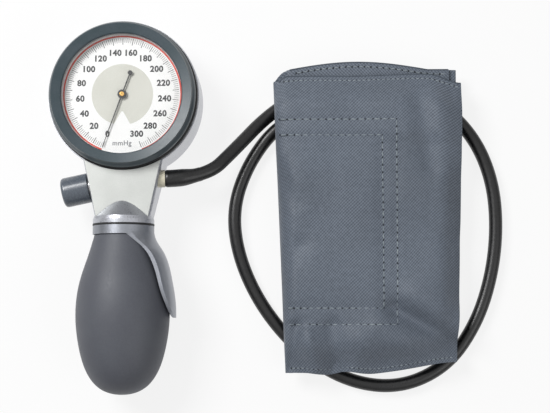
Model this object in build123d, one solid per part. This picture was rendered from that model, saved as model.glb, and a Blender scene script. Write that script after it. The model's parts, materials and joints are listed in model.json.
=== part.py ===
from build123d import *

import math
import os

# Upper arm blood pressure monitor: a palm-type aneroid gauge with an inflation bulb,
# one hose and a folded upper arm cuff, all lying flat on a surface.
# Millimetres. Origin: on the gauge's axis, in the plane of its back.
# +Z leaves the dial, -Y runs down the neck to the bulb, +X points to the hose and the cuff.

# ---- Gauge case ----
case_radius = 36.8
case_height = 27.0
case_wall = 2.5
case_edge_fillet = 1.6
back_cover_height = 2.0
back_cover_seat = 1.3
movement_ledge_z = 20.6
movement_ledge_height = 3.0
inner_ring_width = 4.0
back_ring_height = 3.4
movement_seat_width = 1.6
carrier_ledge_z = 24.0

# ---- Neck block between the case and the bulb ----
neck_top_y = 30.5
neck_top_half_width = 19.6
neck_end_y = 59.0
neck_end_half_width = 13.5
neck_front_z = 29.2
neck_back_z_at_case = 1.5
neck_back_z_at_end = 10.4
neck_edge_radius = 3.0
seam_y = 62.3
seam_radius = 14.9
flare_start_y = 49.0
flare_start_radius = 3.4
manifold_radius = 4.9

# ---- Front plate ----
plate_thickness = 0.8
plate_inset = 0.9

# ---- Bulb and palm lever ----
bulb_radius = 22.7
bulb_neck_radius = 13.6
bulb_end_y = 144.6
bulb_wall = 2.4
seal_thickness = 1.0
collar_length = 4.2
collar_wall = 0.9
lever_gap = 1.7
lever_thickness = 1.4
lever_half_width = 13.2
lever_tip_y = 107.7
lever_tip_length = 16.7

# ---- Dial side ----
gasket_inset = 0.6
gasket_height = 3.0
bezel_inset = 0.6
bezel_height = 8.0
bezel_wall = 4.1
window_lip = 2.4
glass_thickness = 1.6
dial_thickness = 0.8
flange_step = 0.25
glass_seal_height = 0.8
flange_height = 1.6

# ---- Movement ----
pinion_teeth = 12
sector_full_teeth = 96
sector_tooth_count = 14
gear_module = 0.35
tooth_addendum = 0.25
tooth_dedendum = 0.35
tooth_root_share = 0.25
tooth_tip_share = 0.13
plate_height = 1.2
gear_thickness = 1.6
top_plate_z = 27.2
top_plate_radius = 20.0
pillar_radius = 1.5
pillar_circle = 17.5
arbor_radius = 0.7
sector_arbor_radius = 1.0
shaft_fit = 0.05
capsule_radius = 22.0
capsule_base_z = 9.6
capsule_height = 5.0
capsule_pin_radius = 1.0
capsule_pin_travel = 1.5
rocker_arm_thickness = 1.0
rocker_sweep = 17.5
tail_length = 2.37
tail_tip_radius = 1.0
pointer_reach = 27.0
pointer_tail = 11.1
pointer_rest_angle = 160.0
dial_sweep = 320.0

# ---- Deflation button and its valve ----
button_y = 44.1
button_z = 20.4
button_radius = 7.25
button_length = 13.3
button_recess_depth = 4.0
button_travel = 3.0
button_end_wall = 2.4
button_gap = 0.4
sleeve_radius = 5.2
sleeve_inner_end = 9.4
sleeve_outer_end = 7.0
stem_radius = 1.2
seal_radius = 2.7

# ---- Hose connection and hose ----
nipple_y = 40.1
nipple_below_front = 6.5
nipple_end_x = 20.0
nipple_collar_radius = 4.25
nipple_stub_radius = 1.7
nipple_bore_radius = 1.0
nipple_stub_length = 10.0
nipple_depth = 6.5
hose_bore_clearance = 0.05
hose_radius = 3.3
socket_radius = 4.2
socket_length = 10.4
cord_clearance = 0.1

# ---- Cuff ----
cuff_left_top_x = 73.6
cuff_right_top_x = 164.4
cuff_left_bottom_x = 79.6
cuff_right_bottom_x = 160.2
cuff_top_y = 12.0
cuff_crown_y = 18.0
cuff_bottom_y = -133.6
cuff_height = 22.0
cuff_tunnel_height = 8.4
cuff_corner_radius = 5.0
wrap_left_x = 84.0
wrap_right_x = 156.0
wrap_top_y = -17.0
wrap_bottom_y = -116.0
wrap_corner_radius = 12.0
bladder_length = 84.0
bladder_width = 48.0
bladder_height = 3.6
patch_length = 84.0
patch_width = 16.0
patch_height = 1.2
port_radius = 4.5
port_flange_radius = 8.5
port_flange_height = 1.4
port_stub_length = 7.5

# ---- Screws ----
screw_hole_radius = 0.8
screw_head_radius = 1.65
screw_head_height = 0.9
screw_slot_width = 0.5

# ---- Common clearances ----
loose = 0.3
touch = 0.02

neck_axis_z = bulb_radius
gasket_z = case_height
bezel_z = gasket_z + gasket_height
case_bore_radius = case_radius - case_wall
movement_bore_radius = case_bore_radius - movement_seat_width
gasket_radius = case_radius - gasket_inset
bezel_radius = gasket_radius - bezel_inset
glass_radius = bezel_radius - bezel_wall
window_radius = glass_radius - window_lip
flange_inner_radius = window_radius - flange_step
wall_angle = math.degrees(math.atan((neck_top_half_width - neck_end_half_width) / (neck_end_y - neck_top_y)))
pinion_pitch_radius = gear_module * pinion_teeth / 2
sector_pitch_radius = gear_module * sector_full_teeth / 2
sector_axis_y = pinion_pitch_radius + sector_pitch_radius
sector_sweep = dial_sweep * pinion_teeth / sector_full_teeth
gear_z = movement_ledge_z + plate_height + 1.2
dial_z = bezel_z + 0.8
flange_z = dial_z + dial_thickness
glass_seal_z = flange_z + flange_height
glass_z = glass_seal_z + glass_seal_height
collar_start_y = seam_y + seal_thickness + 0.05
nipple_z = neck_front_z - nipple_below_front

# Hose route, centreline, hand-chosen. It leaves the nipple, drops to the surface, passes under
# the cuff's top, makes one loop around the cuff's foot and comes back to the cuff's port.
hose_z = hose_radius + cord_clearance
hose_route = [
    (nipple_end_x, -nipple_y, nipple_z),
    (39.6, -39.6, 21.0),
    (54.0, -24.0, 12.5),
    (69.0, -6.8, 4.6),
    (88.0, 6.0, hose_z),
    (112.0, 10.5, hose_z),
    (136.0, 8.0, hose_z),
    (157.5, -1.5, hose_z),
    (173.0, -18.0, hose_z),
    (181.5, -39.0, hose_z),
    (183.5, -62.0, hose_z),
    (180.8, -86.0, hose_z),
    (173.0, -110.0, hose_z),
    (158.0, -131.5, hose_z),
    (134.0, -142.3, hose_z),
    (107.5, -138.5, hose_z),
    (84.0, -123.0, hose_z),
    (66.0, -101.5, hose_z),
    (54.8, -77.0, hose_z),
    (52.0, -53.5, hose_z),
    (59.5, -31.0, hose_z),
    (74.0, -11.5, hose_z),
    (92.0, -4.5, hose_z),
    (107.0, -5.5, hose_z),
]


def neck_half_width(distance):
    """Half width of the tapered neck block at a distance down the neck."""
    return neck_top_half_width - (distance - neck_top_y) * math.tan(math.radians(wall_angle))


# Frames: the local +Z runs down the neck, out of the button and out of the hose nipple.
neck_frame = Location(Plane(origin=(0, 0, neck_axis_z), x_dir=(1, 0, 0), z_dir=(0, -1, 0)))
button_direction = (-math.cos(math.radians(wall_angle)), -math.sin(math.radians(wall_angle)), 0)
button_origin = (-neck_half_width(button_y), -button_y, button_z)
button_frame = Location(Plane(origin=button_origin, x_dir=(0, 0, 1), z_dir=button_direction))
hose_first_run = Vector(*hose_route[1]) - Vector(*hose_route[0])
hose_frame = Location(Plane(origin=hose_route[0], z_dir=hose_first_run))


def lathe(*profile):
    """Solid of revolution about Z from a closed outline of (radius, height) points."""
    outline = Polyline(*[(radius, 0, height) for radius, height in profile], close=True)
    return revolve(make_face(outline), Axis.Z)


def tube(outer, inner, low, high):
    """Hollow cylinder about Z between two heights."""
    return lathe((inner, low), (outer, low), (outer, high), (inner, high))


def rod(radius, low, high):
    """Plain cylinder about Z between two heights."""
    return Pos(0, 0, low) * Cylinder(radius, high - low, align=(Align.CENTER, Align.CENTER, Align.MIN))


def block(x_low, x_high, y_low, y_high, z_low, z_high):
    """Box between two corners."""
    size = (x_high - x_low, y_high - y_low, z_high - z_low)
    centre = ((x_low + x_high) / 2, (y_low + y_high) / 2, (z_low + z_high) / 2)
    return Pos(*centre) * Box(*size)


def prism(points, low, high):
    """Upright prism over a plan outline."""
    outline = Polyline(*points, close=True)
    return Pos(0, 0, low) * extrude(make_face(outline), amount=high - low)


def around(radius, count, first_angle=0.0):
    """Places on a circle about the gauge axis."""
    step = 360 / count
    angles = [math.radians(first_angle + step * index) for index in range(count)]
    return [(radius * math.cos(angle), radius * math.sin(angle)) for angle in angles]


def screw(length):
    """Countersunk screw with its head's top at height 0 and its shank down -Z."""
    body = lathe(
        (0, -length),
        (screw_hole_radius - touch, -length),
        (screw_hole_radius - touch, -screw_head_height),
        (screw_head_radius, 0),
        (0, 0),
    )
    half_slot = screw_slot_width / 2
    slot = block(-screw_head_radius, screw_head_radius, -half_slot, half_slot, -screw_head_height / 2, 1)
    return body - slot


# ---- Case and neck ----

def case_shell():
    """Stepped pot that holds the movement, open at the front and at the back."""
    cover_radius = case_bore_radius + back_cover_seat / 2
    ring_radius = movement_bore_radius - inner_ring_width
    pot = lathe(
        (cover_radius, 0),
        (case_radius, 0),
        (case_radius, case_height),
        (case_bore_radius, case_height),
        (case_bore_radius, carrier_ledge_z),
        (movement_bore_radius, carrier_ledge_z),
        (movement_bore_radius, movement_ledge_z),
        (ring_radius, movement_ledge_z),
        (ring_radius, movement_ledge_z - movement_ledge_height),
        (movement_bore_radius, movement_ledge_z - movement_ledge_height),
        (movement_bore_radius, back_cover_height + back_ring_height),
        (ring_radius, back_cover_height + back_ring_height),
        (ring_radius, back_cover_height),
        (cover_radius, back_cover_height),
    )
    outer_edges = pot.edges().filter_by(GeomType.CIRCLE).group_by(SortBy.RADIUS)[-1]
    return fillet(outer_edges.sort_by(Axis.Z)[0], case_edge_fillet)


def neck_section(distance, half_width, low):
    """Upright cross-section of the neck block, with rounded corners."""
    height = neck_front_z - low
    plane = Plane(origin=(0, -distance, low + height / 2), x_dir=(1, 0, 0), z_dir=(0, -1, 0))
    return plane * RectangleRounded(2 * half_width, height, neck_edge_radius)


def neck_block():
    """Tapered block from the case to the flare, before it is hollowed."""
    start_y = neck_top_y - 4
    start_half_width = neck_half_width(start_y)
    wedge = loft(Sketch() + [
        neck_section(start_y, start_half_width, neck_back_z_at_case),
        neck_section(neck_end_y + 1, neck_half_width(neck_end_y + 1), neck_back_z_at_end),
    ])
    flare = neck_frame * lathe(
        (0, flare_start_y - 1.5),
        (flare_start_radius, flare_start_y - 1.5),
        (seam_radius - 0.5, neck_end_y - 0.2),
        (seam_radius, neck_end_y + 1.4),
        (seam_radius, seam_y),
        (0, seam_y),
    )
    return wedge, flare


def housing_cuts():
    """Air passages and the seats of the button, the nipple and the bulb insert."""
    duct_z = capsule_base_z - 2.2
    duct_length = nipple_y - case_bore_radius + 2
    return [
        neck_frame * rod(manifold_radius, nipple_y - 3, seam_y + 1),
        neck_frame * rod(insert_flange_radius(), neck_end_y, seam_y + 1),
        Pos(0, -nipple_y, 0) * rod(1.6, duct_z, neck_axis_z),
        Pos(0, -nipple_y, duct_z) * Rot(-90, 0, 0) * rod(1.6, -1.6, duct_length),
        hose_frame * rod(nipple_collar_radius + touch, -nipple_depth - touch, nipple_depth),
        hose_frame * rod(nipple_stub_radius, -nipple_end_x, 0),
        button_frame * rod(button_radius + button_gap, -button_recess_depth, 4),
        button_frame * rod(sleeve_radius, -sleeve_inner_end - touch, 0),
        button_frame * rod(seal_radius + 0.5, -sleeve_inner_end - button_travel - 2.6, 0),
    ]


def insert_flange_radius():
    """Radius of the bulb insert's flange, inside the seam."""
    return seam_radius - 5.1


def gasket_clearance_cut():
    """Space above the case rim that the gasket and the bezel take."""
    return rod(gasket_radius + 0.3, gasket_z, gasket_z + 20)


def housing():
    """Case and hollow neck in one casting."""
    wedge, flare = neck_block()
    body = case_shell() + (wedge - rod(case_radius - 1, -1, 2 * case_height) + flare)
    for cut in [gasket_clearance_cut()] + housing_cuts():
        body -= cut
    for x, y in around(ring_screw_circle(), 3, 90):
        body -= Pos(x, y, 0) * rod(screw_hole_radius, 0, back_cover_height + back_ring_height + 1)
    for x, y in around(ring_screw_circle(), 3, 60):
        body -= Pos(x, y, 0) * rod(screw_hole_radius, movement_ledge_z - movement_ledge_height - 1, movement_ledge_z + 1)
    return body


def ring_screw_circle():
    """Radius of both screw circles, in the middle of the case's inner rings."""
    return movement_bore_radius - inner_ring_width / 2


def front_plate():
    """Satin sheet on the neck's flat front, between the gasket and the flare."""
    outline = [
        (-neck_half_width(neck_top_y - 4) + plate_inset, -(neck_top_y - 4)),
        (neck_half_width(neck_top_y - 4) - plate_inset, -(neck_top_y - 4)),
        (neck_half_width(neck_end_y + 2) - plate_inset, -(neck_end_y + 2)),
        (-neck_half_width(neck_end_y + 2) + plate_inset, -(neck_end_y + 2)),
    ]
    sheet = prism(outline, neck_front_z, neck_front_z + plate_thickness)
    flare = neck_block()[1]
    plate = sheet - rod(gasket_radius + 0.35, 0, 40) - flare
    return plate


def countersink():
    """Countersunk hole for a screw whose head's top is at height 0."""
    return lathe(
        (0, -screw_head_height - 3),
        (screw_hole_radius, -screw_head_height - 3),
        (screw_hole_radius, -screw_head_height),
        (screw_head_radius + 0.15, 0.1),
        (0, 0.1),
    )


def back_cover():
    cover = rod(case_bore_radius + back_cover_seat / 2 - 0.1, 0, back_cover_height)
    for x, y in around(ring_screw_circle(), 3, 90):
        cover -= Pos(x, y, 0) * Rot(180, 0, 0) * countersink()
    return cover


def back_cover_screws():
    one = Rot(180, 0, 0) * screw(back_cover_height + back_ring_height - 0.4)
    return [Pos(x, y, 0) * one for x, y in around(ring_screw_circle(), 3, 90)]


# ---- Dial side ----

def bezel_gasket():
    ring = tube(gasket_radius, movement_bore_radius, gasket_z, bezel_z)
    return fillet(ring.edges().filter_by(GeomType.CIRCLE).group_by(SortBy.RADIUS)[-1], 0.6)


def bezel_ring():
    """Ring with a rounded front that drops inwards to the window, and a skirt in the case."""
    skirt_outer = movement_bore_radius - loose / 3
    front_z = bezel_z + bezel_height
    ridge_radius = window_radius + 4.8
    with BuildPart() as ring:
        with BuildSketch(Plane.XZ):
            with BuildLine():
                Line((skirt_outer, bezel_z), (bezel_radius - 0.6, bezel_z))
                ThreePointArc(
                    (bezel_radius - 0.6, bezel_z),
                    (bezel_radius, bezel_z + 2.6),
                    (bezel_radius - 0.7, bezel_z + 5.2),
                )
                ThreePointArc(
                    (bezel_radius - 0.7, bezel_z + 5.2),
                    (bezel_radius - 1.6, front_z - 0.6),
                    (ridge_radius, front_z),
                )
                Line((ridge_radius, front_z), (window_radius + 0.5, front_z - 1.3))
                Line((window_radius + 0.5, front_z - 1.3), (window_radius, front_z - 1.8))
                Line((window_radius, front_z - 1.8), (window_radius, glass_z + glass_thickness + touch))
                Line((window_radius, glass_z + glass_thickness + touch),
                     (glass_radius + 0.2, glass_z + glass_thickness + touch))
                Line((glass_radius + 0.2, glass_z + glass_thickness + touch), (glass_radius + 0.2, bezel_z - 2.6))
                Line((glass_radius + 0.2, bezel_z - 2.6), (skirt_outer, bezel_z - 2.6))
                Line((skirt_outer, bezel_z - 2.6), (skirt_outer, bezel_z))
            make_face()
        revolve(axis=Axis.Z)
    return ring.part


def glass():
    return rod(glass_radius, glass_z, glass_z + glass_thickness)


def glass_seal():
    return tube(glass_radius, window_radius + 0.6, glass_seal_z, glass_z)


def flange_ring():
    """Light ring around the dial, sloping up to the glass."""
    return lathe(
        (flange_inner_radius, flange_z),
        (glass_radius, flange_z),
        (glass_radius, glass_seal_z),
        (flange_inner_radius + 0.3, glass_seal_z),
    )


def dial_plate():
    return tube(glass_radius, 2.4, dial_z, dial_z + dial_thickness)


def dial_carrier():
    """Ring on the upper ledge of the case that carries the dial inside the bezel's skirt."""
    outer = glass_radius - 0.1
    return lathe(
        (outer - 1.4, carrier_ledge_z + 1.2),
        (movement_bore_radius - 1.2, carrier_ledge_z + 0.1),
        (movement_bore_radius - 1.2, carrier_ledge_z),
        (case_bore_radius - loose / 3, carrier_ledge_z),
        (case_bore_radius - loose / 3, carrier_ledge_z + 1.4),
        (outer, carrier_ledge_z + 1.4),
        (outer, dial_z),
        (outer - 1.4, dial_z),
    )


# ---- Movement ----

def trapezoid_teeth(root, tip, pitch_angle, centres):
    """Outline points of teeth about the origin, in degrees, anticlockwise."""
    points = []
    for centre in centres:
        corners = [
            (root, -tooth_root_share),
            (tip, -tooth_tip_share),
            (tip, tooth_tip_share),
            (root, tooth_root_share),
        ]
        for radius, share in corners:
            angle = math.radians(centre + share * pitch_angle)
            points.append((radius * math.cos(angle), radius * math.sin(angle)))
    return points


def movement_base_plate():
    """Lower plate with pivot holes, the finger's slot and two lugs for the rocking shaft."""
    low = movement_ledge_z
    high = low + plate_height
    plate = rod(movement_bore_radius - loose / 2, low, high)
    for y_low, y_high in rocker_bearing_spans():
        lug = block(rocker_x() - 1.5, rocker_x() + 1.5, y_low, y_high, rocker_z() - 1.5, low)
        plate += lug
    plate -= rod(arbor_radius + shaft_fit, low - 1, high + 1)
    plate -= Pos(0, sector_axis_y, 0) * rod(sector_arbor_radius + shaft_fit, low - 1, high + 1)
    plate -= block(-0.8, 4.2, finger_y() - 0.9, finger_y() + 0.9, low - 1, high + 1)
    plate -= rocker_axis_rod(0.8 + shaft_fit, -4, 30)
    for x, y in around(ring_screw_circle(), 3, 60):
        plate -= Pos(x, y, high) * countersink()
    return plate


def rocker_x():
    """Side offset of the rocking shaft: one arm's length from the gauge axis."""
    return -capsule_pin_travel / math.sin(math.radians(rocker_sweep))


def rocker_z():
    return capsule_base_z + capsule_height + 3.0


def rocker_bearing_spans():
    return [(4.0, 6.0), (finger_y() - 6.4, finger_y() - 4.4)]


def finger_y():
    """Distance of the finger from the gauge axis: level with the sector's tail."""
    return sector_axis_y + tail_length * math.cos(math.radians(sector_sweep / 2))


def rocker_axis_rod(radius, y_low, y_high):
    """Rod along Y on the rocking shaft's axis."""
    return Pos(rocker_x(), 0, rocker_z()) * Rot(-90, 0, 0) * rod(radius, y_low, y_high)


def movement_screws():
    one = screw(plate_height + movement_ledge_height - 0.6)
    height = movement_ledge_z + plate_height
    return [Pos(x, y, height) * one for x, y in around(ring_screw_circle(), 3, 60)]


def pillar_places():
    return [(x, y + 8) for x, y in around(pillar_circle, 3, -90)]


def movement_top_plate():
    plate = Pos(0, 8, 0) * rod(top_plate_radius, top_plate_z, top_plate_z + plate_height)
    plate -= rod(arbor_radius + shaft_fit, top_plate_z - 1, top_plate_z + plate_height + 1)
    plate -= Pos(0, sector_axis_y, 0) * rod(sector_arbor_radius + shaft_fit, top_plate_z - 1, top_plate_z + 3)
    return plate


def movement_pillars():
    low = movement_ledge_z + plate_height
    return [Pos(x, y, 0) * rod(pillar_radius, low, top_plate_z) for x, y in pillar_places()]


def pinion_arbor():
    """Arbor with the pinion's teeth and the seat of the pointer."""
    pitch = 360 / pinion_teeth
    root = pinion_pitch_radius - tooth_dedendum
    tip = pinion_pitch_radius + tooth_addendum
    centres = [90 + pitch * index for index in range(pinion_teeth)]
    teeth = prism(trapezoid_teeth(root, tip, pitch, centres), gear_z - 0.3, gear_z + gear_thickness + 0.3)
    shaft = rod(arbor_radius, movement_ledge_z + 0.1, pointer_z() + 0.9)
    shoulder = rod(1.1, movement_ledge_z + plate_height + 0.1, gear_z)
    return teeth + shaft + shoulder


def sector_gear():
    """Toothed sector with its arbor and the tail that the finger pushes."""
    pitch = 360 / sector_full_teeth
    root = sector_pitch_radius - tooth_dedendum
    tip = sector_pitch_radius + tooth_addendum
    last = -90 + 1.5 * pitch
    centres = [last - pitch * index for index in reversed(range(sector_tooth_count))]
    teeth = trapezoid_teeth(root, tip, pitch, centres)
    sector = prism([(0, 0)] + teeth, gear_z, gear_z + gear_thickness)
    window_angle = math.radians((centres[0] + centres[-1]) / 2)
    window_place = (10.6 * math.cos(window_angle), 10.6 * math.sin(window_angle))
    sector -= Pos(*window_place, 0) * rod(2.6, gear_z - 1, gear_z + 3)
    sector += rod(1.7, gear_z, gear_z + gear_thickness)
    tail_angle = 90 - sector_sweep / 2
    tail = block(0, tail_length, -0.7, 0.7, gear_z, gear_z + gear_thickness)
    tail += Pos(tail_length, 0, 0) * rod(tail_tip_radius, gear_z, gear_z + gear_thickness)
    sector += Rot(0, 0, tail_angle) * tail
    sector += rod(sector_arbor_radius, movement_ledge_z + 0.1, top_plate_z + plate_height - 0.1)
    sector += rod(1.5, movement_ledge_z + plate_height + 0.1, gear_z)
    return Pos(0, sector_axis_y, 0) * sector


def rocking_shaft():
    """Shaft that the capsule's pin lifts on one arm and whose finger pushes the sector's tail."""
    low = rocker_z() - rocker_arm_thickness / 2
    high = rocker_z() + rocker_arm_thickness / 2
    finger_face = tail_length * math.sin(math.radians(sector_sweep / 2)) + tail_tip_radius + 0.25
    shaft = rocker_axis_rod(0.8, -1.5, finger_y() + 0.6)
    shaft += block(rocker_x(), 1.2, -1.5, 1.5, low, high)
    shaft += block(rocker_x(), finger_face + 1.2, finger_y() - 0.6, finger_y() + 0.6, low, high)
    shaft += block(finger_face, finger_face + 1.2, finger_y() - 0.6, finger_y() + 0.6, low, gear_z + 1.0)
    return shaft


def hairspring():
    """Flat spiral between its fixed stud's height and the arbor, in two and a half turns."""
    turns = 2.5
    inner = arbor_radius + 0.5
    outer = 4.6
    thickness = 0.2
    steps = 40
    inside = []
    outside = []
    for index in range(steps + 1):
        share = index / steps
        angle = turns * 2 * math.pi * share
        radius = inner + (outer - inner) * share
        inside.append((radius * math.cos(angle), radius * math.sin(angle)))
        outside.append(((radius + thickness) * math.cos(angle), (radius + thickness) * math.sin(angle)))
    low = gear_z + gear_thickness + 0.9
    spiral = prism(inside + outside[::-1], low, low + 0.7)
    end_angle = turns * 2 * math.pi
    stud = Pos(outer * math.cos(end_angle), outer * math.sin(end_angle), 0) * rod(0.6, low, top_plate_z)
    collet = tube(inner + 0.15, arbor_radius + loose, low, low + 0.7)
    return spiral + stud + collet


def capsule_stem():
    """Foot that carries the capsule on the back cover and lets the air in."""
    foot = lathe(
        (0, back_cover_height),
        (7, back_cover_height),
        (7, back_cover_height + 1.2),
        (3.6, back_cover_height + 2),
        (3.6, capsule_base_z),
        (0, capsule_base_z),
    )
    duct_z = capsule_base_z - 2.2
    foot -= rod(1, duct_z, capsule_base_z + 1)
    foot -= Pos(0, 0, duct_z) * Rot(90, 0, 0) * rod(1.6, -0.5, 5)
    return foot


def pressure_tube():
    """Pipe from the neck's air passage to the capsule's foot."""
    duct_z = capsule_base_z - 2.2
    pipe = tube(1.6, 0.8, 1.2, nipple_y - 2.5)
    return Pos(0, 0, duct_z) * Rot(90, 0, 0) * pipe


def diaphragm_capsule():
    """Two corrugated discs joined at the rim."""
    middle = capsule_base_z + capsule_height / 2
    half = capsule_height / 2
    waves = 4
    upper = []
    for index in range(waves * 2 + 1):
        radius = 4.0 + (capsule_radius - 7.0) * index / (waves * 2)
        upper.append((radius, half - (0.5 if index % 2 else 0.0)))
    rim = [(capsule_radius - 1.2, 0.9), (capsule_radius, 0.4)]
    top = [(0, half)] + upper + rim
    profile = [(radius, middle + height) for radius, height in top]
    profile += [(radius, middle - height) for radius, height in reversed(top)]
    inner = rod(capsule_radius - 4.5, middle - 0.9, middle + 0.9)
    return lathe(*profile) - inner - rod(1, capsule_base_z - 1, middle)


def capsule_pin():
    """Pin on the capsule's top that lifts the rocking shaft's arm."""
    base = capsule_base_z + capsule_height + touch
    top = rocker_z() - rocker_arm_thickness / 2 - 0.12
    return lathe(
        (0, base),
        (2.4, base),
        (2.4, base + 0.7),
        (capsule_pin_radius, base + 0.7),
        (capsule_pin_radius, top - 0.6),
        (0.25, top),
        (0, top),
    )


def pointer_z():
    return flange_z + 0.9


def pointer():
    """Needle with a disc on its tail, at rest on the zero mark."""
    low = pointer_z()
    blade = prism([(-0.35, 0), (-0.12, pointer_reach), (0.12, pointer_reach), (0.35, 0)], low, low + 0.35)
    tail = prism([(-0.3, 0), (-0.3, -pointer_tail), (0.3, -pointer_tail), (0.3, 0)], low, low + 0.35)
    disc = Pos(0, -pointer_tail, 0) * rod(1.15, low, low + 0.35)
    hub = rod(2.2, low - 0.1, low + 0.5)
    needle = blade + tail + disc + hub - rod(arbor_radius + touch, low - 1, low + 2)
    return Rot(0, 0, pointer_rest_angle) * needle


def pointer_cap():
    low = pointer_z() + 0.5
    cap = rod(1.25, low, low + 0.7)
    cap = fillet(cap.edges().sort_by(Axis.Z)[-1], 0.3)
    return cap - rod(arbor_radius + touch, low - 1, low + 0.42)


# ---- Deflation button and valve ----

def valve_sleeve():
    """Threaded guide in the neck wall with the valve seat at its inner end."""
    body = lathe(
        (stem_radius + loose, -sleeve_inner_end),
        (sleeve_radius - touch, -sleeve_inner_end),
        (sleeve_radius - touch, sleeve_outer_end),
        (3.6, sleeve_outer_end),
        (3.6, -2.5),
        (stem_radius + loose, -2.5),
    )
    return button_frame * body


def valve_washer():
    """Bright ring at the bottom of the button's recess."""
    radius = button_radius + button_gap - 0.05
    return button_frame * tube(radius, sleeve_radius + 0.05, -button_recess_depth, -button_recess_depth + 0.7)


def valve_button():
    """Cap that slides over the sleeve."""
    end = button_length + button_gap
    cap = rod(button_radius, button_gap, end)
    cap = fillet(cap.edges().filter_by(GeomType.CIRCLE).sort_by(Axis.Z)[-1], 1.6)
    cap = chamfer(cap.edges().filter_by(GeomType.CIRCLE).sort_by(Axis.Z)[0], 0.3)
    cap -= rod(sleeve_radius + loose, 0, end - button_end_wall)
    return button_frame * cap


def valve_stem():
    """Stem from the button to the head behind the seat."""
    end = button_length + button_gap - button_end_wall
    stem = lathe(
        (0, -sleeve_inner_end - 1.9),
        (1.9, -sleeve_inner_end - 1.9),
        (1.9, -sleeve_inner_end - 1.0),
        (stem_radius, -sleeve_inner_end - 1.0),
        (stem_radius, end),
        (0, end),
    )
    return button_frame * stem


def valve_seal():
    """Rubber disc on the stem that closes the seat."""
    return button_frame * tube(seal_radius, stem_radius + touch, -sleeve_inner_end - 1, -sleeve_inner_end - 0.1)


def valve_spring():
    """Return spring between the sleeve's step and the button's end."""
    low = -2.4
    high = button_length + button_gap - button_end_wall - 0.1
    wire = 0.25
    rings = 7
    coil_radius = stem_radius + 1.1
    step = (high - low - 2 * wire) / (rings - 1)
    path = Helix(pitch=step, height=high - low - 2 * wire, radius=coil_radius)
    path = Pos(0, 0, low + wire) * path
    section = Plane(origin=path @ 0, z_dir=path % 0) * Circle(wire)
    return button_frame * sweep(section, path=path)


# ---- Bulb, its insert and the palm lever ----

def neck_seal():
    """Black ring in the seam."""
    ring = tube(seam_radius + 0.1, insert_flange_radius() + 0.2, seam_y, seam_y + seal_thickness)
    return neck_frame * fillet(ring.edges().filter_by(GeomType.CIRCLE).group_by(SortBy.RADIUS)[-1], 0.3)


def insert_barrel_radius():
    """Radius of the insert's barrel, which the bulb's neck is stretched over."""
    return bulb_neck_radius - 4.4


def insert_end_y():
    return seam_y + 12.0


def neck_insert():
    """Threaded fitting that joins the bulb to the neck and holds both check valves."""
    flange = insert_flange_radius() - touch
    barrel = insert_barrel_radius()
    body = lathe(
        (1.6, flare_start_y - 1),
        (manifold_radius - touch, flare_start_y - 1),
        (manifold_radius - touch, neck_end_y + touch),
        (flange, neck_end_y + touch),
        (flange, collar_start_y),
        (barrel, collar_start_y),
        (barrel, insert_end_y()),
        (5.0, insert_end_y()),
        (5.0, insert_end_y() + 3.2),
        (1.6, insert_end_y() + 3.2),
    )
    body -= rod(3.9, flare_start_y - 2, flare_start_y + 1.8)
    for x, y in around((5.0 + barrel) / 2, 8):
        body -= Pos(x, y, 0) * rod(0.8, neck_end_y + 1.2, insert_end_y() + 1)
    return neck_frame * body


def outlet_valve_disc():
    """Loose disc that lets air out of the bulb into the manifold and not back."""
    low = flare_start_y + 0.9
    return neck_frame * rod(3.4, low, low + 0.8)


def outlet_valve_cage():
    """Pierced ring that keeps the outlet disc in its chamber."""
    low = flare_start_y - 1.0
    return neck_frame * tube(3.88, 1.8, low, low + 0.7)


def intake_valve_disc():
    """Loose ring that covers the insert's intake holes from inside the bulb."""
    low = insert_end_y() + 0.08
    return neck_frame * tube(insert_barrel_radius() - 0.2, 5.4, low, low + 0.7)


def intake_valve_clip():
    """Clip on the insert's nose that stops the intake ring."""
    low = insert_end_y() + 1.9
    return neck_frame * tube(6.6, 5.02, low, low + 0.7)


def bulb_outline(offset):
    """Side curve of the bulb, from its neck to its end, moved inwards by an offset."""
    length = bulb_end_y - seam_y
    shape = [(0.16, 0.715), (0.34, 0.92), (0.528, 1.0), (0.714, 0.93), (0.90, 0.69)]
    points = [(share * bulb_radius - offset, seam_y + place * length) for place, share in shape]
    return points


def bulb():
    """Hollow rubber bulb with a thick neck."""
    neck_start = collar_start_y
    barrel = insert_barrel_radius() + touch
    with BuildPart() as body:
        with BuildSketch(Plane.XZ):
            with BuildLine():
                Line((barrel, neck_start), (bulb_neck_radius, neck_start))
                Line((bulb_neck_radius, neck_start), (bulb_neck_radius, neck_start + collar_length - 1.2))
                Spline(
                    (bulb_neck_radius, neck_start + collar_length - 1.2),
                    *bulb_outline(0),
                    (0, bulb_end_y),
                    tangents=((0.3, 1), (-1, 0)),
                )
                Line((0, bulb_end_y), (0, bulb_end_y - bulb_wall))
                Spline(
                    (0, bulb_end_y - bulb_wall),
                    *bulb_outline(bulb_wall)[:0:-1],
                    (barrel + 2.4, insert_end_y() + 3),
                    tangents=((1, 0), (-0.5, -1)),
                )
                Line((barrel + 2.4, insert_end_y() + 3), (barrel + 0.4, insert_end_y() + 0.1))
                Line((barrel + 0.4, insert_end_y() + 0.1), (barrel, insert_end_y() - 0.4))
                Line((barrel, insert_end_y() - 0.4), (barrel, neck_start))
            make_face()
        revolve(axis=Axis.Z)
    return neck_frame * body.part


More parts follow.
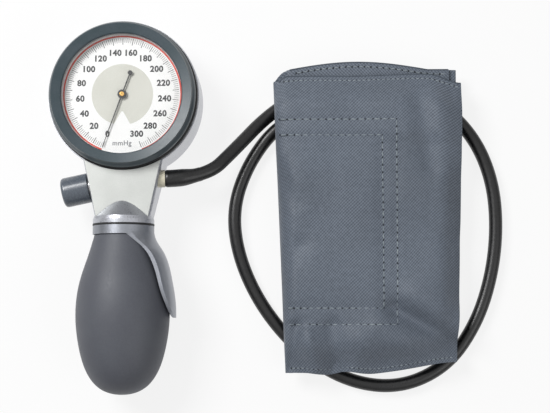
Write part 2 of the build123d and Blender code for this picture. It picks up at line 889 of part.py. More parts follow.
def palm_lever():
    """Collar that turns about the bulb's neck, with a curved leaf along one side."""
    collar_end = collar_start_y + collar_length
    inner = bulb_neck_radius + 0.4
    collar = tube(inner + collar_wall, inner, collar_start_y, collar_end)
    with BuildPart() as shell:
        with BuildSketch(Plane.XZ):
            with BuildLine():
                inside = [(radius + lever_gap, place) for radius, place in bulb_outline(0)[:3]]
                outside = [(radius + lever_gap + lever_thickness, place) for radius, place in bulb_outline(0)[:3]]
                start = collar_end - 1.4
                Line((inner + collar_wall * 0.02, start), (inner + collar_wall, start))
                Spline((inner + collar_wall, start), *outside, tangents=((0.1, 1), (0, 1)))
                Line(outside[-1], (outside[-1][0], lever_tip_y + 1))
                Line((outside[-1][0], lever_tip_y + 1), (inside[-1][0], lever_tip_y + 1))
                Line((inside[-1][0], lever_tip_y + 1), inside[-1])
                Spline(inside[-1], *inside[-2::-1], (inner + collar_wall * 0.02, start), tangents=((0, -1), (-0.1, -1)))
            make_face()
        revolve(axis=Axis.Z)
    leaf = shell.part & lever_outline_prism(collar_end)
    lever = neck_frame * (collar + leaf)
    return lever


def lever_outline_prism(collar_end):
    """Side view outline of the leaf: a strip that flares into the collar and ends in a half ellipse."""
    straight_end = lever_tip_y - lever_tip_length
    half = lever_half_width
    with BuildPart() as outline:
        with BuildSketch(Plane.YZ):
            with BuildLine():
                Line((-half - 0.9, collar_end - 1.5), (half + 0.9, collar_end - 1.5))
                Line((half + 0.9, collar_end - 1.5), (half, collar_end + 6))
                Line((half, collar_end + 6), (half, straight_end))
                Spline(
                    (half, straight_end),
                    (half * 0.80, straight_end + lever_tip_length * 0.62),
                    (0, lever_tip_y),
                    tangents=((0, 1), (-1, 0)),
                )
                Spline(
                    (0, lever_tip_y),
                    (-half * 0.80, straight_end + lever_tip_length * 0.62),
                    (-half, straight_end),
                    tangents=((-1, 0), (0, -1)),
                )
                Line((-half, straight_end), (-half, collar_end + 6))
                Line((-half, collar_end + 6), (-half - 0.9, collar_end - 1.5))
            make_face()
        extrude(amount=40)
    return outline.part


# ---- Hose ----

def hose_nipple():
    """Ivory collar in the neck wall with the stub that the hose is pushed on."""
    body = tube(nipple_collar_radius, nipple_bore_radius, -nipple_depth, 0)
    body += tube(nipple_stub_radius, nipple_bore_radius, -1, nipple_stub_length)
    return hose_frame * body


def hose_socket():
    """Thickened end of the hose around the nipple's stub."""
    bore = hose_radius + touch
    body = lathe(
        (bore, touch),
        (socket_radius, touch),
        (socket_radius, socket_length - 4),
        (bore + 0.3, socket_length),
        (bore, socket_length),
    )
    return hose_frame * body


def route_radii(route):
    """Radius at each inner point: 0.45 of the shorter run over the tangent of half the turn."""
    radii = []
    for before, here, after in zip(route, route[1:], route[2:]):
        into = Vector(*here) - Vector(*before)
        out = Vector(*after) - Vector(*here)
        half_turn = math.radians(into.get_angle(out)) / 2
        radii.append(0.45 * min(into.length, out.length) / math.tan(half_turn))
    return radii


def hose():
    """Hose as a plain tube along its route."""
    radii = route_radii(hose_route)
    path = FilletPolyline(*hose_route, radius=radii)
    bore = nipple_stub_radius + hose_bore_clearance
    section = Plane(origin=hose_route[0], z_dir=path % 0) * (Circle(hose_radius) - Circle(bore))
    tube_solid = sweep(section, path=path)
    expected = math.pi * (hose_radius ** 2 - bore ** 2) * path.length
    print("hose radii", [round(radius, 1) for radius in radii])
    print("hose length", round(path.length, 1), "volume ratio", round(tube_solid.volume / expected, 5))
    return tube_solid


# ---- Cuff ----

def cuff_outline():
    """Plan outline of the folded cuff: straight sides that draw in towards the foot, domed top."""
    with BuildSketch() as sketch:
        with BuildLine():
            Line((cuff_left_top_x, cuff_top_y), (cuff_left_bottom_x, cuff_bottom_y))
            Line((cuff_left_bottom_x, cuff_bottom_y), (cuff_right_bottom_x, cuff_bottom_y))
            Line((cuff_right_bottom_x, cuff_bottom_y), (cuff_right_top_x, cuff_top_y))
            ThreePointArc(
                (cuff_right_top_x, cuff_top_y),
                ((cuff_left_top_x + cuff_right_top_x) / 2, cuff_crown_y),
                (cuff_left_top_x, cuff_top_y),
            )
        make_face()
    return sketch.sketch


def cuff_centre_x():
    return (wrap_left_x + wrap_right_x) / 2


def cuff_centre_y():
    return (wrap_top_y + wrap_bottom_y) / 2


def bladder_x():
    """Centre of the bladder, left of the fastening patches."""
    return wrap_left_x + 2 + bladder_width / 2


def patch_x():
    """Centre of the fastening patches, at the wrap's right side."""
    return wrap_right_x - 2 - patch_width / 2


def cuff_outer_wrap():
    """Upper layers of the folded cuff, over the hose, with pockets for the bladder and the patches."""
    slab = Pos(0, 0, cuff_tunnel_height) * extrude(cuff_outline(), amount=cuff_height - cuff_tunnel_height)
    slab = fillet(slab.edges().filter_by(Axis.Z), cuff_corner_radius)
    slab = fillet(slab.faces().sort_by(Axis.Z)[-1].edges(), cuff_corner_radius - 1)
    low = cuff_tunnel_height
    slab -= pocket(bladder_x(), bladder_width, bladder_length, low, bladder_height)
    slab -= pocket(patch_x(), patch_width, patch_length, low, 2 * patch_height)
    return slab


def pocket(centre_x, width, length, low, height):
    """Recess in the underside for a flat piece, a little larger than the piece."""
    size = (width + 2 * loose, length + 2 * loose, height + 0.1)
    return Pos(centre_x, cuff_centre_y(), low + size[2] / 2) * Box(*size)


def cuff_inner_wrap():
    """Rolled lower layers of the folded cuff, which the cuff lies on."""
    width = wrap_right_x - wrap_left_x
    length = wrap_top_y - wrap_bottom_y
    roll = extrude(RectangleRounded(width, length, wrap_corner_radius), amount=cuff_tunnel_height)
    return Pos(cuff_centre_x(), cuff_centre_y(), 0) * roll


def cuff_bladder():
    """Air bladder between the wraps."""
    body = Box(bladder_width, bladder_length, bladder_height)
    body = fillet(body.edges().filter_by(Axis.Z), 6)
    return Pos(bladder_x(), cuff_centre_y(), cuff_tunnel_height + bladder_height / 2) * body


def hook_patch():
    return flat_patch(cuff_tunnel_height)


def loop_patch():
    return flat_patch(cuff_tunnel_height + patch_height)


def flat_patch(low):
    """One half of the hook-and-loop fastening."""
    return Pos(patch_x(), cuff_centre_y(), low + patch_height / 2) * Box(patch_width, patch_length, patch_height)


def cuff_port():
    """Elbow under the cuff that the hose ends on."""
    before = Vector(*hose_route[-2]) - Vector(*hose_route[-1])
    centre = Vector(*hose_route[-1]) - before.normalized() * port_radius
    port_flange_z = cuff_tunnel_height - port_flange_height
    body = Pos(centre.X, centre.Y, 0) * rod(port_radius, hose_z - 3.1, port_flange_z)
    face = Location(Plane(origin=hose_route[-1], z_dir=before))
    body += face * rod(hose_radius - 0.3, -port_radius, 0)
    body += face * rod(nipple_stub_radius, -1, port_stub_length)
    body += Pos(centre.X, centre.Y, 0) * rod(port_flange_radius, port_flange_z, cuff_tunnel_height)
    return body - face * rod(nipple_bore_radius, -port_radius, port_stub_length + 1)


def group(solids):
    """Several separate solids as one node."""
    return Compound(children=list(solids))


nodes = {
    "pressure_housing": housing,
    "front_plate": front_plate,
    "back_cover": back_cover,
    "back_cover_screws": lambda: group(back_cover_screws()),
    "bezel_gasket": bezel_gasket,
    "bezel_ring": bezel_ring,
    "dial_glass": glass,
    "glass_seal": glass_seal,
    "dial_flange_ring": flange_ring,
    "dial_plate": dial_plate,
    "dial_carrier": dial_carrier,
    "movement_base_plate": movement_base_plate,
    "movement_top_plate": movement_top_plate,
    "movement_pillars": lambda: group(movement_pillars()),
    "movement_screws": lambda: group(movement_screws()),
    "pinion_arbor": pinion_arbor,
    "sector_gear": sector_gear,
    "rocking_shaft": rocking_shaft,
    "hairspring": hairspring,
    "capsule_stem": capsule_stem,
    "pressure_tube": pressure_tube,
    "diaphragm_capsule": diaphragm_capsule,
    "capsule_pin": capsule_pin,
    "pointer": pointer,
    "pointer_cap": pointer_cap,
    "valve_sleeve": valve_sleeve,
    "valve_washer": valve_washer,
    "valve_button": valve_button,
    "valve_stem": valve_stem,
    "valve_seal": valve_seal,
    "valve_spring": valve_spring,
    "neck_seal": neck_seal,
    "neck_insert": neck_insert,
    "outlet_valve_disc": outlet_valve_disc,
    "outlet_valve_cage": outlet_valve_cage,
    "intake_valve_disc": intake_valve_disc,
    "intake_valve_clip": intake_valve_clip,
    "bulb": bulb,
    "palm_lever": palm_lever,
    "hose_nipple": hose_nipple,
    "hose_socket": hose_socket,
    "hose": hose,
    "cuff_outer_wrap": cuff_outer_wrap,
    "cuff_inner_wrap": cuff_inner_wrap,
    "cuff_bladder": cuff_bladder,
    "hook_patch": hook_patch,
    "loop_patch": loop_patch,
    "cuff_port": cuff_port,
}

os.makedirs("parts", exist_ok=True)
for name, make in nodes.items():
    export_step(make(), f"parts/{name}.step")
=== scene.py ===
"""Looks of an upper arm blood pressure monitor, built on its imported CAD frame.

A palm aneroid gauge with an inflation bulb, one rubber hose and a folded nylon cuff, all
lying flat. Sizes are in millimetres here and become metres where a mesh is made.
"""

import json
import logging
import math
from dataclasses import dataclass
from enum import Enum
from typing import Iterable, Sequence

import bmesh
import bpy
from mathutils import Matrix, Vector, noise

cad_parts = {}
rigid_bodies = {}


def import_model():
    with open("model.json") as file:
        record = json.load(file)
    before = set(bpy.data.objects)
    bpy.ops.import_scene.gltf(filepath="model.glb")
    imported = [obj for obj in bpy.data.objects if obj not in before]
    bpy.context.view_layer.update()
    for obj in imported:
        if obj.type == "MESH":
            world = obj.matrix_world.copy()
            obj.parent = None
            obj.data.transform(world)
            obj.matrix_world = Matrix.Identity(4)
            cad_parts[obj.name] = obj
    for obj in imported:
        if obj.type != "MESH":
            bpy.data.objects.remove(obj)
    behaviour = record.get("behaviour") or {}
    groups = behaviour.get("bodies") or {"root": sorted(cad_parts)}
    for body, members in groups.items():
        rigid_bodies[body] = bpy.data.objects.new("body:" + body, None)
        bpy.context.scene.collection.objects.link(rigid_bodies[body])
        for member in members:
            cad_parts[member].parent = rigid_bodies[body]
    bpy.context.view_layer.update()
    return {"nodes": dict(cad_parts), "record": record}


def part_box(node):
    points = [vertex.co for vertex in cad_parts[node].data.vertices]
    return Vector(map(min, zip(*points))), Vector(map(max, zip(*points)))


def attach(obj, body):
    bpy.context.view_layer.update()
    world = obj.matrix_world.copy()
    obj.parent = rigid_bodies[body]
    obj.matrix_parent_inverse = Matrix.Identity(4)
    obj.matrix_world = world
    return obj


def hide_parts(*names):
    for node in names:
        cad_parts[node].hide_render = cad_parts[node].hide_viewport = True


for leftover in list(bpy.data.objects):
    bpy.data.objects.remove(leftover)
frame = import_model()

LOG = logging.getLogger("monitor")
MM = 0.001
ROOT = "gauge_and_cuff"
Point = tuple[float, float]


# ---- Small helpers ----


def linear(hex_colour: str) -> tuple[float, float, float, float]:
    """Turns an sRGB hex colour into linear RGBA.

    Args:
        hex_colour: A colour such as "#d8d8d0".

    Returns:
        Linear red, green, blue and an alpha of 1.
    """
    channels = [int(hex_colour[i:i + 2], 16) / 255 for i in (1, 3, 5)]
    return (*[c / 12.92 if c <= 0.04045 else ((c + 0.055) / 1.055) ** 2.4 for c in channels], 1.0)


def add(tree: bpy.types.NodeTree, kind: str, inputs: dict | None = None, **settings) -> bpy.types.Node:
    """Adds a node with its settings and links.

    Args:
        tree: The node tree that gets the node.
        kind: The node's type, without its "ShaderNode" start.
        inputs: Input name or number to a value, or to the socket that feeds it.
        settings: Attributes set on the node.

    Returns:
        The new node.
    """
    node = tree.nodes.new("ShaderNode" + kind)
    for name, value in settings.items():
        setattr(node, name, value)
    for key, value in (inputs or {}).items():
        if isinstance(value, bpy.types.NodeSocket):
            tree.links.new(value, node.inputs[key])
        else:
            node.inputs[key].default_value = value
    return node


def ease(value: float) -> float:
    """Goes smoothly from 0 to 1 as value does, and stays flat outside."""
    held = min(1.0, max(0.0, value))
    return held * held * (3 - 2 * held)


def off_segment(x: float, y: float, start: Point, end: Point) -> float:
    """Distance of a flat point from a segment.

    Args:
        x: The point's first coordinate.
        y: The point's second coordinate.
        start: The segment's first end.
        end: The segment's other end.

    Returns:
        The distance, in the same unit.
    """
    along = Vector((end[0] - start[0], end[1] - start[1]))
    out = Vector((x - start[0], y - start[1]))
    share = min(1.0, max(0.0, out.dot(along) / along.length_squared))
    return (out - along * share).length


# ---- Finishes ----


class Grain(Enum):
    """How the small pattern of a surface lies."""

    EVEN = "even"        # moulded, cast or sprayed
    TURNED = "turned"    # rings round the gauge's axis, from a lathe
    DRAWN = "drawn"      # lines along the neck, from brushing or extruding


@dataclass(frozen=True)
class Finish:
    """A solid material with a fine grain, a soft change of tone and uneven gloss."""

    name: str
    colour: str
    second_colour: str
    roughness: float
    grain_mm: float
    grain_depth_mm: float
    mottle_mm: float = 9.0
    metallic: float = 0.0
    ior: float = 1.5
    coat: float = 0.0
    gloss_spread: float = 0.08
    grain: Grain = Grain.EVEN

    def material(self) -> bpy.types.Material:
        """The finish's material, made once."""
        return bpy.data.materials.get(self.name) or self.make()

    def make(self) -> bpy.types.Material:
        """Builds the node tree and returns the new material."""
        made = bpy.data.materials.new(self.name)
        made.use_nodes = True
        tree = made.node_tree
        tree.nodes.clear()
        shader = add(tree, "BsdfPrincipled", {"Metallic": self.metallic, "Coat Weight": self.coat,
                                              "Coat Roughness": 0.12})
        if not self.metallic:
            shader.inputs["IOR"].default_value = self.ior
        self.dress(tree, shader)
        add(tree, "OutputMaterial", {"Surface": shader.outputs["BSDF"]})
        return made

    def place(self, tree: bpy.types.NodeTree) -> bpy.types.NodeSocket:
        """The coordinates that the grain follows.

        Args:
            tree: The material's node tree.

        Returns:
            A vector socket, in metres.
        """
        flat = add(tree, "TexCoord").outputs["Object"]
        if self.grain is Grain.DRAWN:
            return add(tree, "Mapping", {"Vector": flat, "Scale": (1.0, 0.05, 1.0)}).outputs["Vector"]
        if self.grain is Grain.TURNED:
            split = add(tree, "SeparateXYZ", {"Vector": flat})
            level = add(tree, "CombineXYZ", {"X": split.outputs["X"], "Y": split.outputs["Y"]})
            out = add(tree, "VectorMath", {0: level.outputs["Vector"]}, operation="LENGTH")
            return add(tree, "CombineXYZ", {"X": out.outputs["Value"], "Z": split.outputs["Z"]}).outputs["Vector"]
        return flat

    def dress(self, tree: bpy.types.NodeTree, shader: bpy.types.Node) -> None:
        """Links tone, gloss and grain to the shader.

        Args:
            tree: The material's node tree.
            shader: The Principled node.
        """
        place = self.place(tree)
        even = add(tree, "TexCoord").outputs["Object"]
        mottle = add(tree, "TexNoise", {"Vector": even, "Scale": 1 / (self.mottle_mm * MM), "Detail": 3.0})
        fine = add(tree, "TexNoise", {"Vector": place, "Scale": 1 / (self.grain_mm * MM), "Detail": 3.0,
                                      "Roughness": 0.6})
        both = add(tree, "Math", {0: mottle.outputs["Fac"], 1: fine.outputs["Fac"]}, operation="ADD")
        spread = add(tree, "MapRange", {"Value": both.outputs["Value"], "From Min": 0.75, "From Max": 1.25})
        tone = add(tree, "Mix", {0: spread.outputs["Result"], 6: linear(self.colour),
                                 7: linear(self.second_colour)}, data_type="RGBA")
        gloss = add(tree, "MapRange", {"Value": fine.outputs["Fac"], "From Min": 0.3, "From Max": 0.7,
                                       "To Min": max(0.02, self.roughness - self.gloss_spread),
                                       "To Max": min(1.0, self.roughness + self.gloss_spread)})
        bump = add(tree, "Bump", {"Height": fine.outputs["Fac"], "Distance": self.grain_depth_mm * MM})
        tree.links.new(tone.outputs[2], shader.inputs["Base Color"])
        tree.links.new(gloss.outputs["Result"], shader.inputs["Roughness"])
        tree.links.new(bump.outputs["Normal"], shader.inputs["Normal"])


@dataclass(frozen=True)
class ClearGlass(Finish):
    """Float glass: nearly nothing but its gloss."""

    alpha: float = 0.03

    def dress(self, tree: bpy.types.NodeTree, shader: bpy.types.Node) -> None:
        """Thins the shared dressing until the dial shows through."""
        super().dress(tree, shader)
        shader.inputs["Alpha"].default_value = self.alpha


@dataclass(frozen=True)
class WovenTwill(Finish):
    """Coated nylon twill: diagonal ribs with the yarns crossing them."""

    rib_mm: float = 1.1
    yarn_mm: float = 1.3
    sheen: float = 0.12

    def waves(self, tree: bpy.types.NodeTree, distance: bpy.types.NodeSocket,
              step_mm: float) -> bpy.types.NodeSocket:
        """Turns a distance into a wave from -1 to 1.

        Args:
            tree: The material's node tree.
            distance: Metres across the lines, times the square root of 2.
            step_mm: Spacing of the lines.

        Returns:
            The wave's socket.
        """
        turns = add(tree, "Math", {0: distance, 1: 2 * math.pi / (step_mm * MM * math.sqrt(2))},
                    operation="MULTIPLY")
        return add(tree, "Math", {0: turns.outputs["Value"]}, operation="SINE").outputs["Value"]

    def dress(self, tree: bpy.types.NodeTree, shader: bpy.types.Node) -> None:
        """Links the twill, its coating and soft stains of tone to the shader."""
        cloth = add(tree, "TexCoord").outputs["UV"]
        split = add(tree, "SeparateXYZ", {"Vector": cloth})
        rising = add(tree, "Math", {0: split.outputs["X"], 1: split.outputs["Y"]}, operation="SUBTRACT")
        falling = add(tree, "Math", {0: split.outputs["X"], 1: split.outputs["Y"]}, operation="ADD")
        ribs = self.waves(tree, rising.outputs["Value"], self.rib_mm)
        yarns = self.waves(tree, falling.outputs["Value"], self.yarn_mm)
        crossed = add(tree, "Math", {0: yarns, 1: 0.45, 2: ribs}, operation="MULTIPLY_ADD")
        uneven = add(tree, "TexNoise", {"Vector": cloth, "Scale": 1 / (self.grain_mm * MM), "Detail": 2.0})
        loose = add(tree, "Math", {0: uneven.outputs["Fac"], 1: 1.6, 2: crossed.outputs["Value"]},
                    operation="MULTIPLY_ADD")
        weave = add(tree, "MapRange", {"Value": loose.outputs["Value"], "From Min": -0.65, "From Max": 2.25})
        yarn_tone = add(tree, "Mix", {0: weave.outputs["Result"], 6: linear(self.colour),
                                      7: linear(self.second_colour)}, data_type="RGBA")
        wide = add(tree, "TexNoise", {"Vector": cloth, "Scale": 1 / (self.mottle_mm * MM), "Detail": 2.0})
        shade = add(tree, "MapRange", {"Value": wide.outputs["Fac"], "From Min": 0.3, "From Max": 0.7,
                                       "To Min": 0.9, "To Max": 1.07})
        grey = add(tree, "CombineColor", {0: shade.outputs["Result"], 1: shade.outputs["Result"],
                                          2: shade.outputs["Result"]})
        tone = add(tree, "Mix", {0: 1.0, 6: yarn_tone.outputs[2], 7: grey.outputs["Color"]},
                   data_type="RGBA", blend_type="MULTIPLY")
        gloss = add(tree, "MapRange", {"Value": weave.outputs["Result"],
                                       "To Min": self.roughness + self.gloss_spread,
                                       "To Max": self.roughness - self.gloss_spread})
        bump = add(tree, "Bump", {"Height": weave.outputs["Result"], "Distance": self.grain_depth_mm * MM})
        shader.inputs["Sheen Weight"].default_value = self.sheen
        shader.inputs["Sheen Roughness"].default_value = 0.5
        tree.links.new(tone.outputs[2], shader.inputs["Base Color"])
        tree.links.new(gloss.outputs["Result"], shader.inputs["Roughness"])
        tree.links.new(bump.outputs["Normal"], shader.inputs["Normal"])


# Zinc die casting with sprayed silver lacquer: bluish satin with fine metal flakes.
SILVER_LACQUER = Finish("silver_lacquer", "#b2b4bb", "#c0c2c8", 0.33, 0.7, 0.008, 14.0, metallic=0.72, coat=0.2)
# Bead-blasted aluminium sheet: pale, even and softly sparkling.
BLASTED_ALUMINIUM = Finish("blasted_aluminium", "#b2b4b1", "#bdbfbc", 0.46, 0.6, 0.014, 11.0, metallic=0.6)
# Bright plated steel: clean highlights and a fine even grain.
PLATED_STEEL = Finish("plated_steel", "#a6a6a9", "#bdbdbf", 0.22, 0.5, 0.004, 8.0, metallic=1.0)
# Nitrile rubber, moulded: black and dull.
NITRILE_RUBBER = Finish("nitrile_rubber", "#101011", "#1a1a1b", 0.55, 0.8, 0.012, 6.0)
# Glass-filled polyamide with a fine eroded mould texture: slate grey, satin.
POLYAMIDE = Finish("glass_filled_polyamide", "#35444a", "#434e55", 0.38, 0.7, 0.01, 12.0)
FLOAT_GLASS = ClearGlass("float_glass", "#f4f8f8", "#ffffff", 0.04, 40.0, 0.001, 60.0, gloss_spread=0.01)
# Moulded polystyrene: pale, slightly waxy.
PALE_POLYSTYRENE = Finish("pale_polystyrene", "#d6d8d8", "#e2e3e2", 0.42, 0.9, 0.01, 10.0)
# Enamelled dial sheet: matte white with a trace of orange peel.
DIAL_ENAMEL = Finish("dial_enamel", "#fafaf9", "#fdfdfc", 0.55, 1.6, 0.001, 22.0)
# Machined brass with turning marks.
TURNED_BRASS = Finish("turned_brass", "#b48a46", "#c9a05a", 0.30, 0.45, 0.006, 8.0, metallic=1.0,
                      grain=Grain.TURNED)
# Blackened aluminium sheet, as on a needle.
BLACKENED_ALUMINIUM = Finish("blackened_aluminium", "#141518", "#1c1d20", 0.55, 0.5, 0.004, 5.0)
# ABS, moulded and polished: dark grey with a soft highlight.
GLOSSY_ABS = Finish("glossy_abs", "#535a64", "#575f68", 0.27, 1.1, 0.001, 14.0, ior=1.53, coat=0.2,
                    gloss_spread=0.02)
# Machined aluminium.
MACHINED_ALUMINIUM = Finish("machined_aluminium", "#a4a6aa", "#bbbdc0", 0.32, 0.5, 0.006, 8.0, metallic=1.0)
# Soft PVC, dip-moulded: grey, matte, with a velvety unevenness.
SOFT_PVC = Finish("soft_moulded_pvc", "#4f5159", "#575a61", 0.55, 0.9, 0.012, 16.0)
# Satin anodised aluminium: smooth, with a broad soft highlight.
BRUSHED_LEVER = Finish("satin_lever_aluminium", "#8f9299", "#9c9fa6", 0.36, 0.5, 0.004, 16.0, metallic=0.95)
# A lighter copy of the lever's metal on its rounded edges: a painted highlight along the edge.
LEVER_EDGE_HIGHLIGHT = Finish("lever_edge_painted_highlight", "#f0f0f2", "#f8f8f9", 0.16, 0.6, 0.002, 9.0, metallic=1.0,
                       gloss_spread=0.04)
# Polyamide, natural: ivory and slightly waxy.
IVORY_POLYAMIDE = Finish("ivory_polyamide", "#dcd6bf", "#e6e1cd", 0.38, 0.9, 0.01, 6.0)
# EPDM hose, extruded and cured: near black with a long soft highlight.
EPDM_HOSE = Finish("extruded_epdm", "#0f0f10", "#181819", 0.34, 0.9, 0.008, 9.0)
# Latex-free bladder sheet: dull dark grey.
BLADDER_SHEET = Finish("bladder_sheet", "#5a5b5e", "#66676a", 0.6, 1.0, 0.02, 12.0)
# Hook tape: stiff and coarse.
HOOK_TAPE = Finish("nylon_hook_tape", "#3c3f44", "#565a60", 0.7, 1.2, 0.35, 6.0)
# Loop tape: brushed pile.
LOOP_TAPE = Finish("brushed_loop_tape", "#454950", "#60656d", 0.85, 0.8, 0.25, 5.0)
# Coated nylon twill. Its real ribs, about 0.5 mm apart, are drawn wider so that they show.
NYLON_TWILL = WovenTwill("coated_nylon_twill", "#434b56", "#727b88", 0.62, 2.2, 0.05, 34.0, gloss_spread=0.06)
# Folded tape over the cloth's cut edge: the same nylon, darker, as painted shade along the step of each hem.
HEM_SHADE_TAPE = Finish("nylon_edge_tape_painted_shade", "#39414b", "#4a535e", 0.7, 0.6, 0.03, 5.0)
# Polyester sewing thread, twisted: lighter than the cloth.
SEWING_THREAD = Finish("polyester_thread", "#737d85", "#9aa3a8", 0.6, 0.5, 0.03, 2.0)
# The shadowed needle holes between the stitches.
NEEDLE_HOLE = Finish("needle_hole", "#1f242a", "#2a3037", 0.8, 0.5, 0.02, 3.0)
# Pad printing inks on the dial: flat, with a slightly uneven film.
DARK_INK = Finish("dark_printing_ink", "#1a1b1e", "#232428", 0.5, 0.6, 0.001, 4.0)
GREY_INK = Finish("grey_printing_ink", "#6e7074", "#787a7e", 0.5, 0.6, 0.001, 4.0)
BEIGE_INK = Finish("beige_printing_ink", "#d2d2c8", "#dadad1", 0.52, 0.8, 0.001, 12.0)
RED_INK = Finish("red_printing_ink", "#cf3a26", "#e0452d", 0.45, 0.6, 0.003, 6.0)

SLOT_FINISHES = {
    "silver_paint": SILVER_LACQUER, "satin_plate": BLASTED_ALUMINIUM, "bright_steel": PLATED_STEEL,
    "black_rubber": NITRILE_RUBBER, "grey_plastic": POLYAMIDE, "clear_glass": FLOAT_GLASS,
    "light_plastic": PALE_POLYSTYRENE, "dial_white": DIAL_ENAMEL, "brass": TURNED_BRASS,
    "dark_metal": BLACKENED_ALUMINIUM, "button_plastic": GLOSSY_ABS, "aluminium": MACHINED_ALUMINIUM,
    "grey_rubber": SOFT_PVC, "lever_metal": BRUSHED_LEVER, "ivory_plastic": IVORY_POLYAMIDE,
    "hose_rubber": EPDM_HOSE, "cuff_fabric": NYLON_TWILL, "bladder_rubber": BLADDER_SHEET,
    "hook_tape": HOOK_TAPE, "loop_tape": LOOP_TAPE, "port_rubber": NITRILE_RUBBER,
}


# ---- Pieces ----


def piece(name: str, mesh: bpy.types.Mesh, finish: Finish, slot: str, body: str = ROOT,
          stands_for: Sequence[str] = (), crease_angle: float = 35.0) -> bpy.types.Object:
    """Makes a finished object from a mesh and lets it ride on its body.

    Args:
        name: The piece's name.
        mesh: Its mesh, in place, in metres.
        finish: What it is made of.
        slot: Not used.
        body: The CAD body that it moves with.
        stands_for: CAD nodes that it replaces.
        crease_angle: Edges sharper than this, in degrees, stay sharp.

    Returns:
        The object.
    """
    mesh.name = name
    mesh.materials.clear()
    mesh.materials.append(finish.material())
    mesh.shade_smooth()
    mesh.set_sharp_from_angle(angle=math.radians(crease_angle))
    made = bpy.data.objects.new(name, mesh)
    bpy.context.scene.collection.objects.link(made)
    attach(made, body)
    if stands_for:
        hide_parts(*stands_for)
    LOG.info("%s: %d faces on %s", name, len(mesh.polygons), body)
    return made


def meshed(shape: bmesh.types.BMesh) -> bpy.types.Mesh:
    """Writes a bmesh to a new mesh and frees it."""
    mesh = bpy.data.meshes.new("shape")
    shape.to_mesh(mesh)
    shape.free()
    return mesh


def spun(profile: Iterable[Point], centre: Point, degrees: float, start: float, steps: int) -> bmesh.types.BMesh:
    """Turns a closed outline of radius and height round a vertical axis.

    Args:
        profile: Corners as (radius, height), in mm.
        centre: The axis, in mm.
        degrees: How far it turns; 360 closes it.
        start: Where it starts, in degrees from +X.
        steps: How many steps the turn has.

    Returns:
        The closed shape.
    """
    shape = bmesh.new()
    corners = [shape.verts.new(Vector((r, 0.0, z)) * MM) for r, z in profile]
    face = shape.faces.new(corners)
    bmesh.ops.rotate(shape, verts=shape.verts, cent=(0, 0, 0), matrix=Matrix.Rotation(math.radians(start), 3, "Z"))
    whole = degrees == 360.0
    bmesh.ops.spin(shape, geom=[face] + list(face.edges), cent=(0, 0, 0), axis=(0, 0, 1),
                   angle=math.radians(degrees), steps=steps, use_merge=whole)
    bmesh.ops.remove_doubles(shape, verts=shape.verts, dist=1e-7)
    if not whole:
        rim = [edge for edge in shape.edges if edge.is_boundary]
        bmesh.ops.holes_fill(shape, edges=rim)
    bmesh.ops.translate(shape, verts=shape.verts, vec=Vector((*centre, 0.0)) * MM)
    bmesh.ops.recalc_face_normals(shape, faces=shape.faces)
    return shape


def sweep(shape: bmesh.types.BMesh, points: Sequence[Vector], radii: Sequence[float], segments: int) -> None:
    """Adds a round closed tube along points.

    Args:
        shape: The bmesh that gets it.
        points: The centreline, in metres.
        radii: The tube's radius at each point, in metres.
        segments: Sides of the tube.
    """
    rings = []
    for i, (place, radius) in enumerate(zip(points, radii)):
        ahead = points[min(i + 1, len(points) - 1)] - points[max(i - 1, 0)]
        turn = ahead.to_track_quat("Z", "Y").to_matrix().to_4x4()
        ring = bmesh.ops.create_circle(shape, segments=segments, cap_ends=False, radius=radius,
                                       matrix=Matrix.Translation(place) @ turn)
        rings.append(ring["verts"])
    for first, second in zip(rings, rings[1:]):
        edges = {edge for vert in first + second for edge in vert.link_edges
                 if (edge.verts[0] in first) == (edge.verts[1] in first)
                 and (edge.verts[0] in second) == (edge.verts[1] in second)}
        bmesh.ops.bridge_loops(shape, edges=list(edges))
    bmesh.ops.holes_fill(shape, edges=[edge for edge in shape.edges if edge.is_boundary])


# ---- Camera, lamps and floor ----


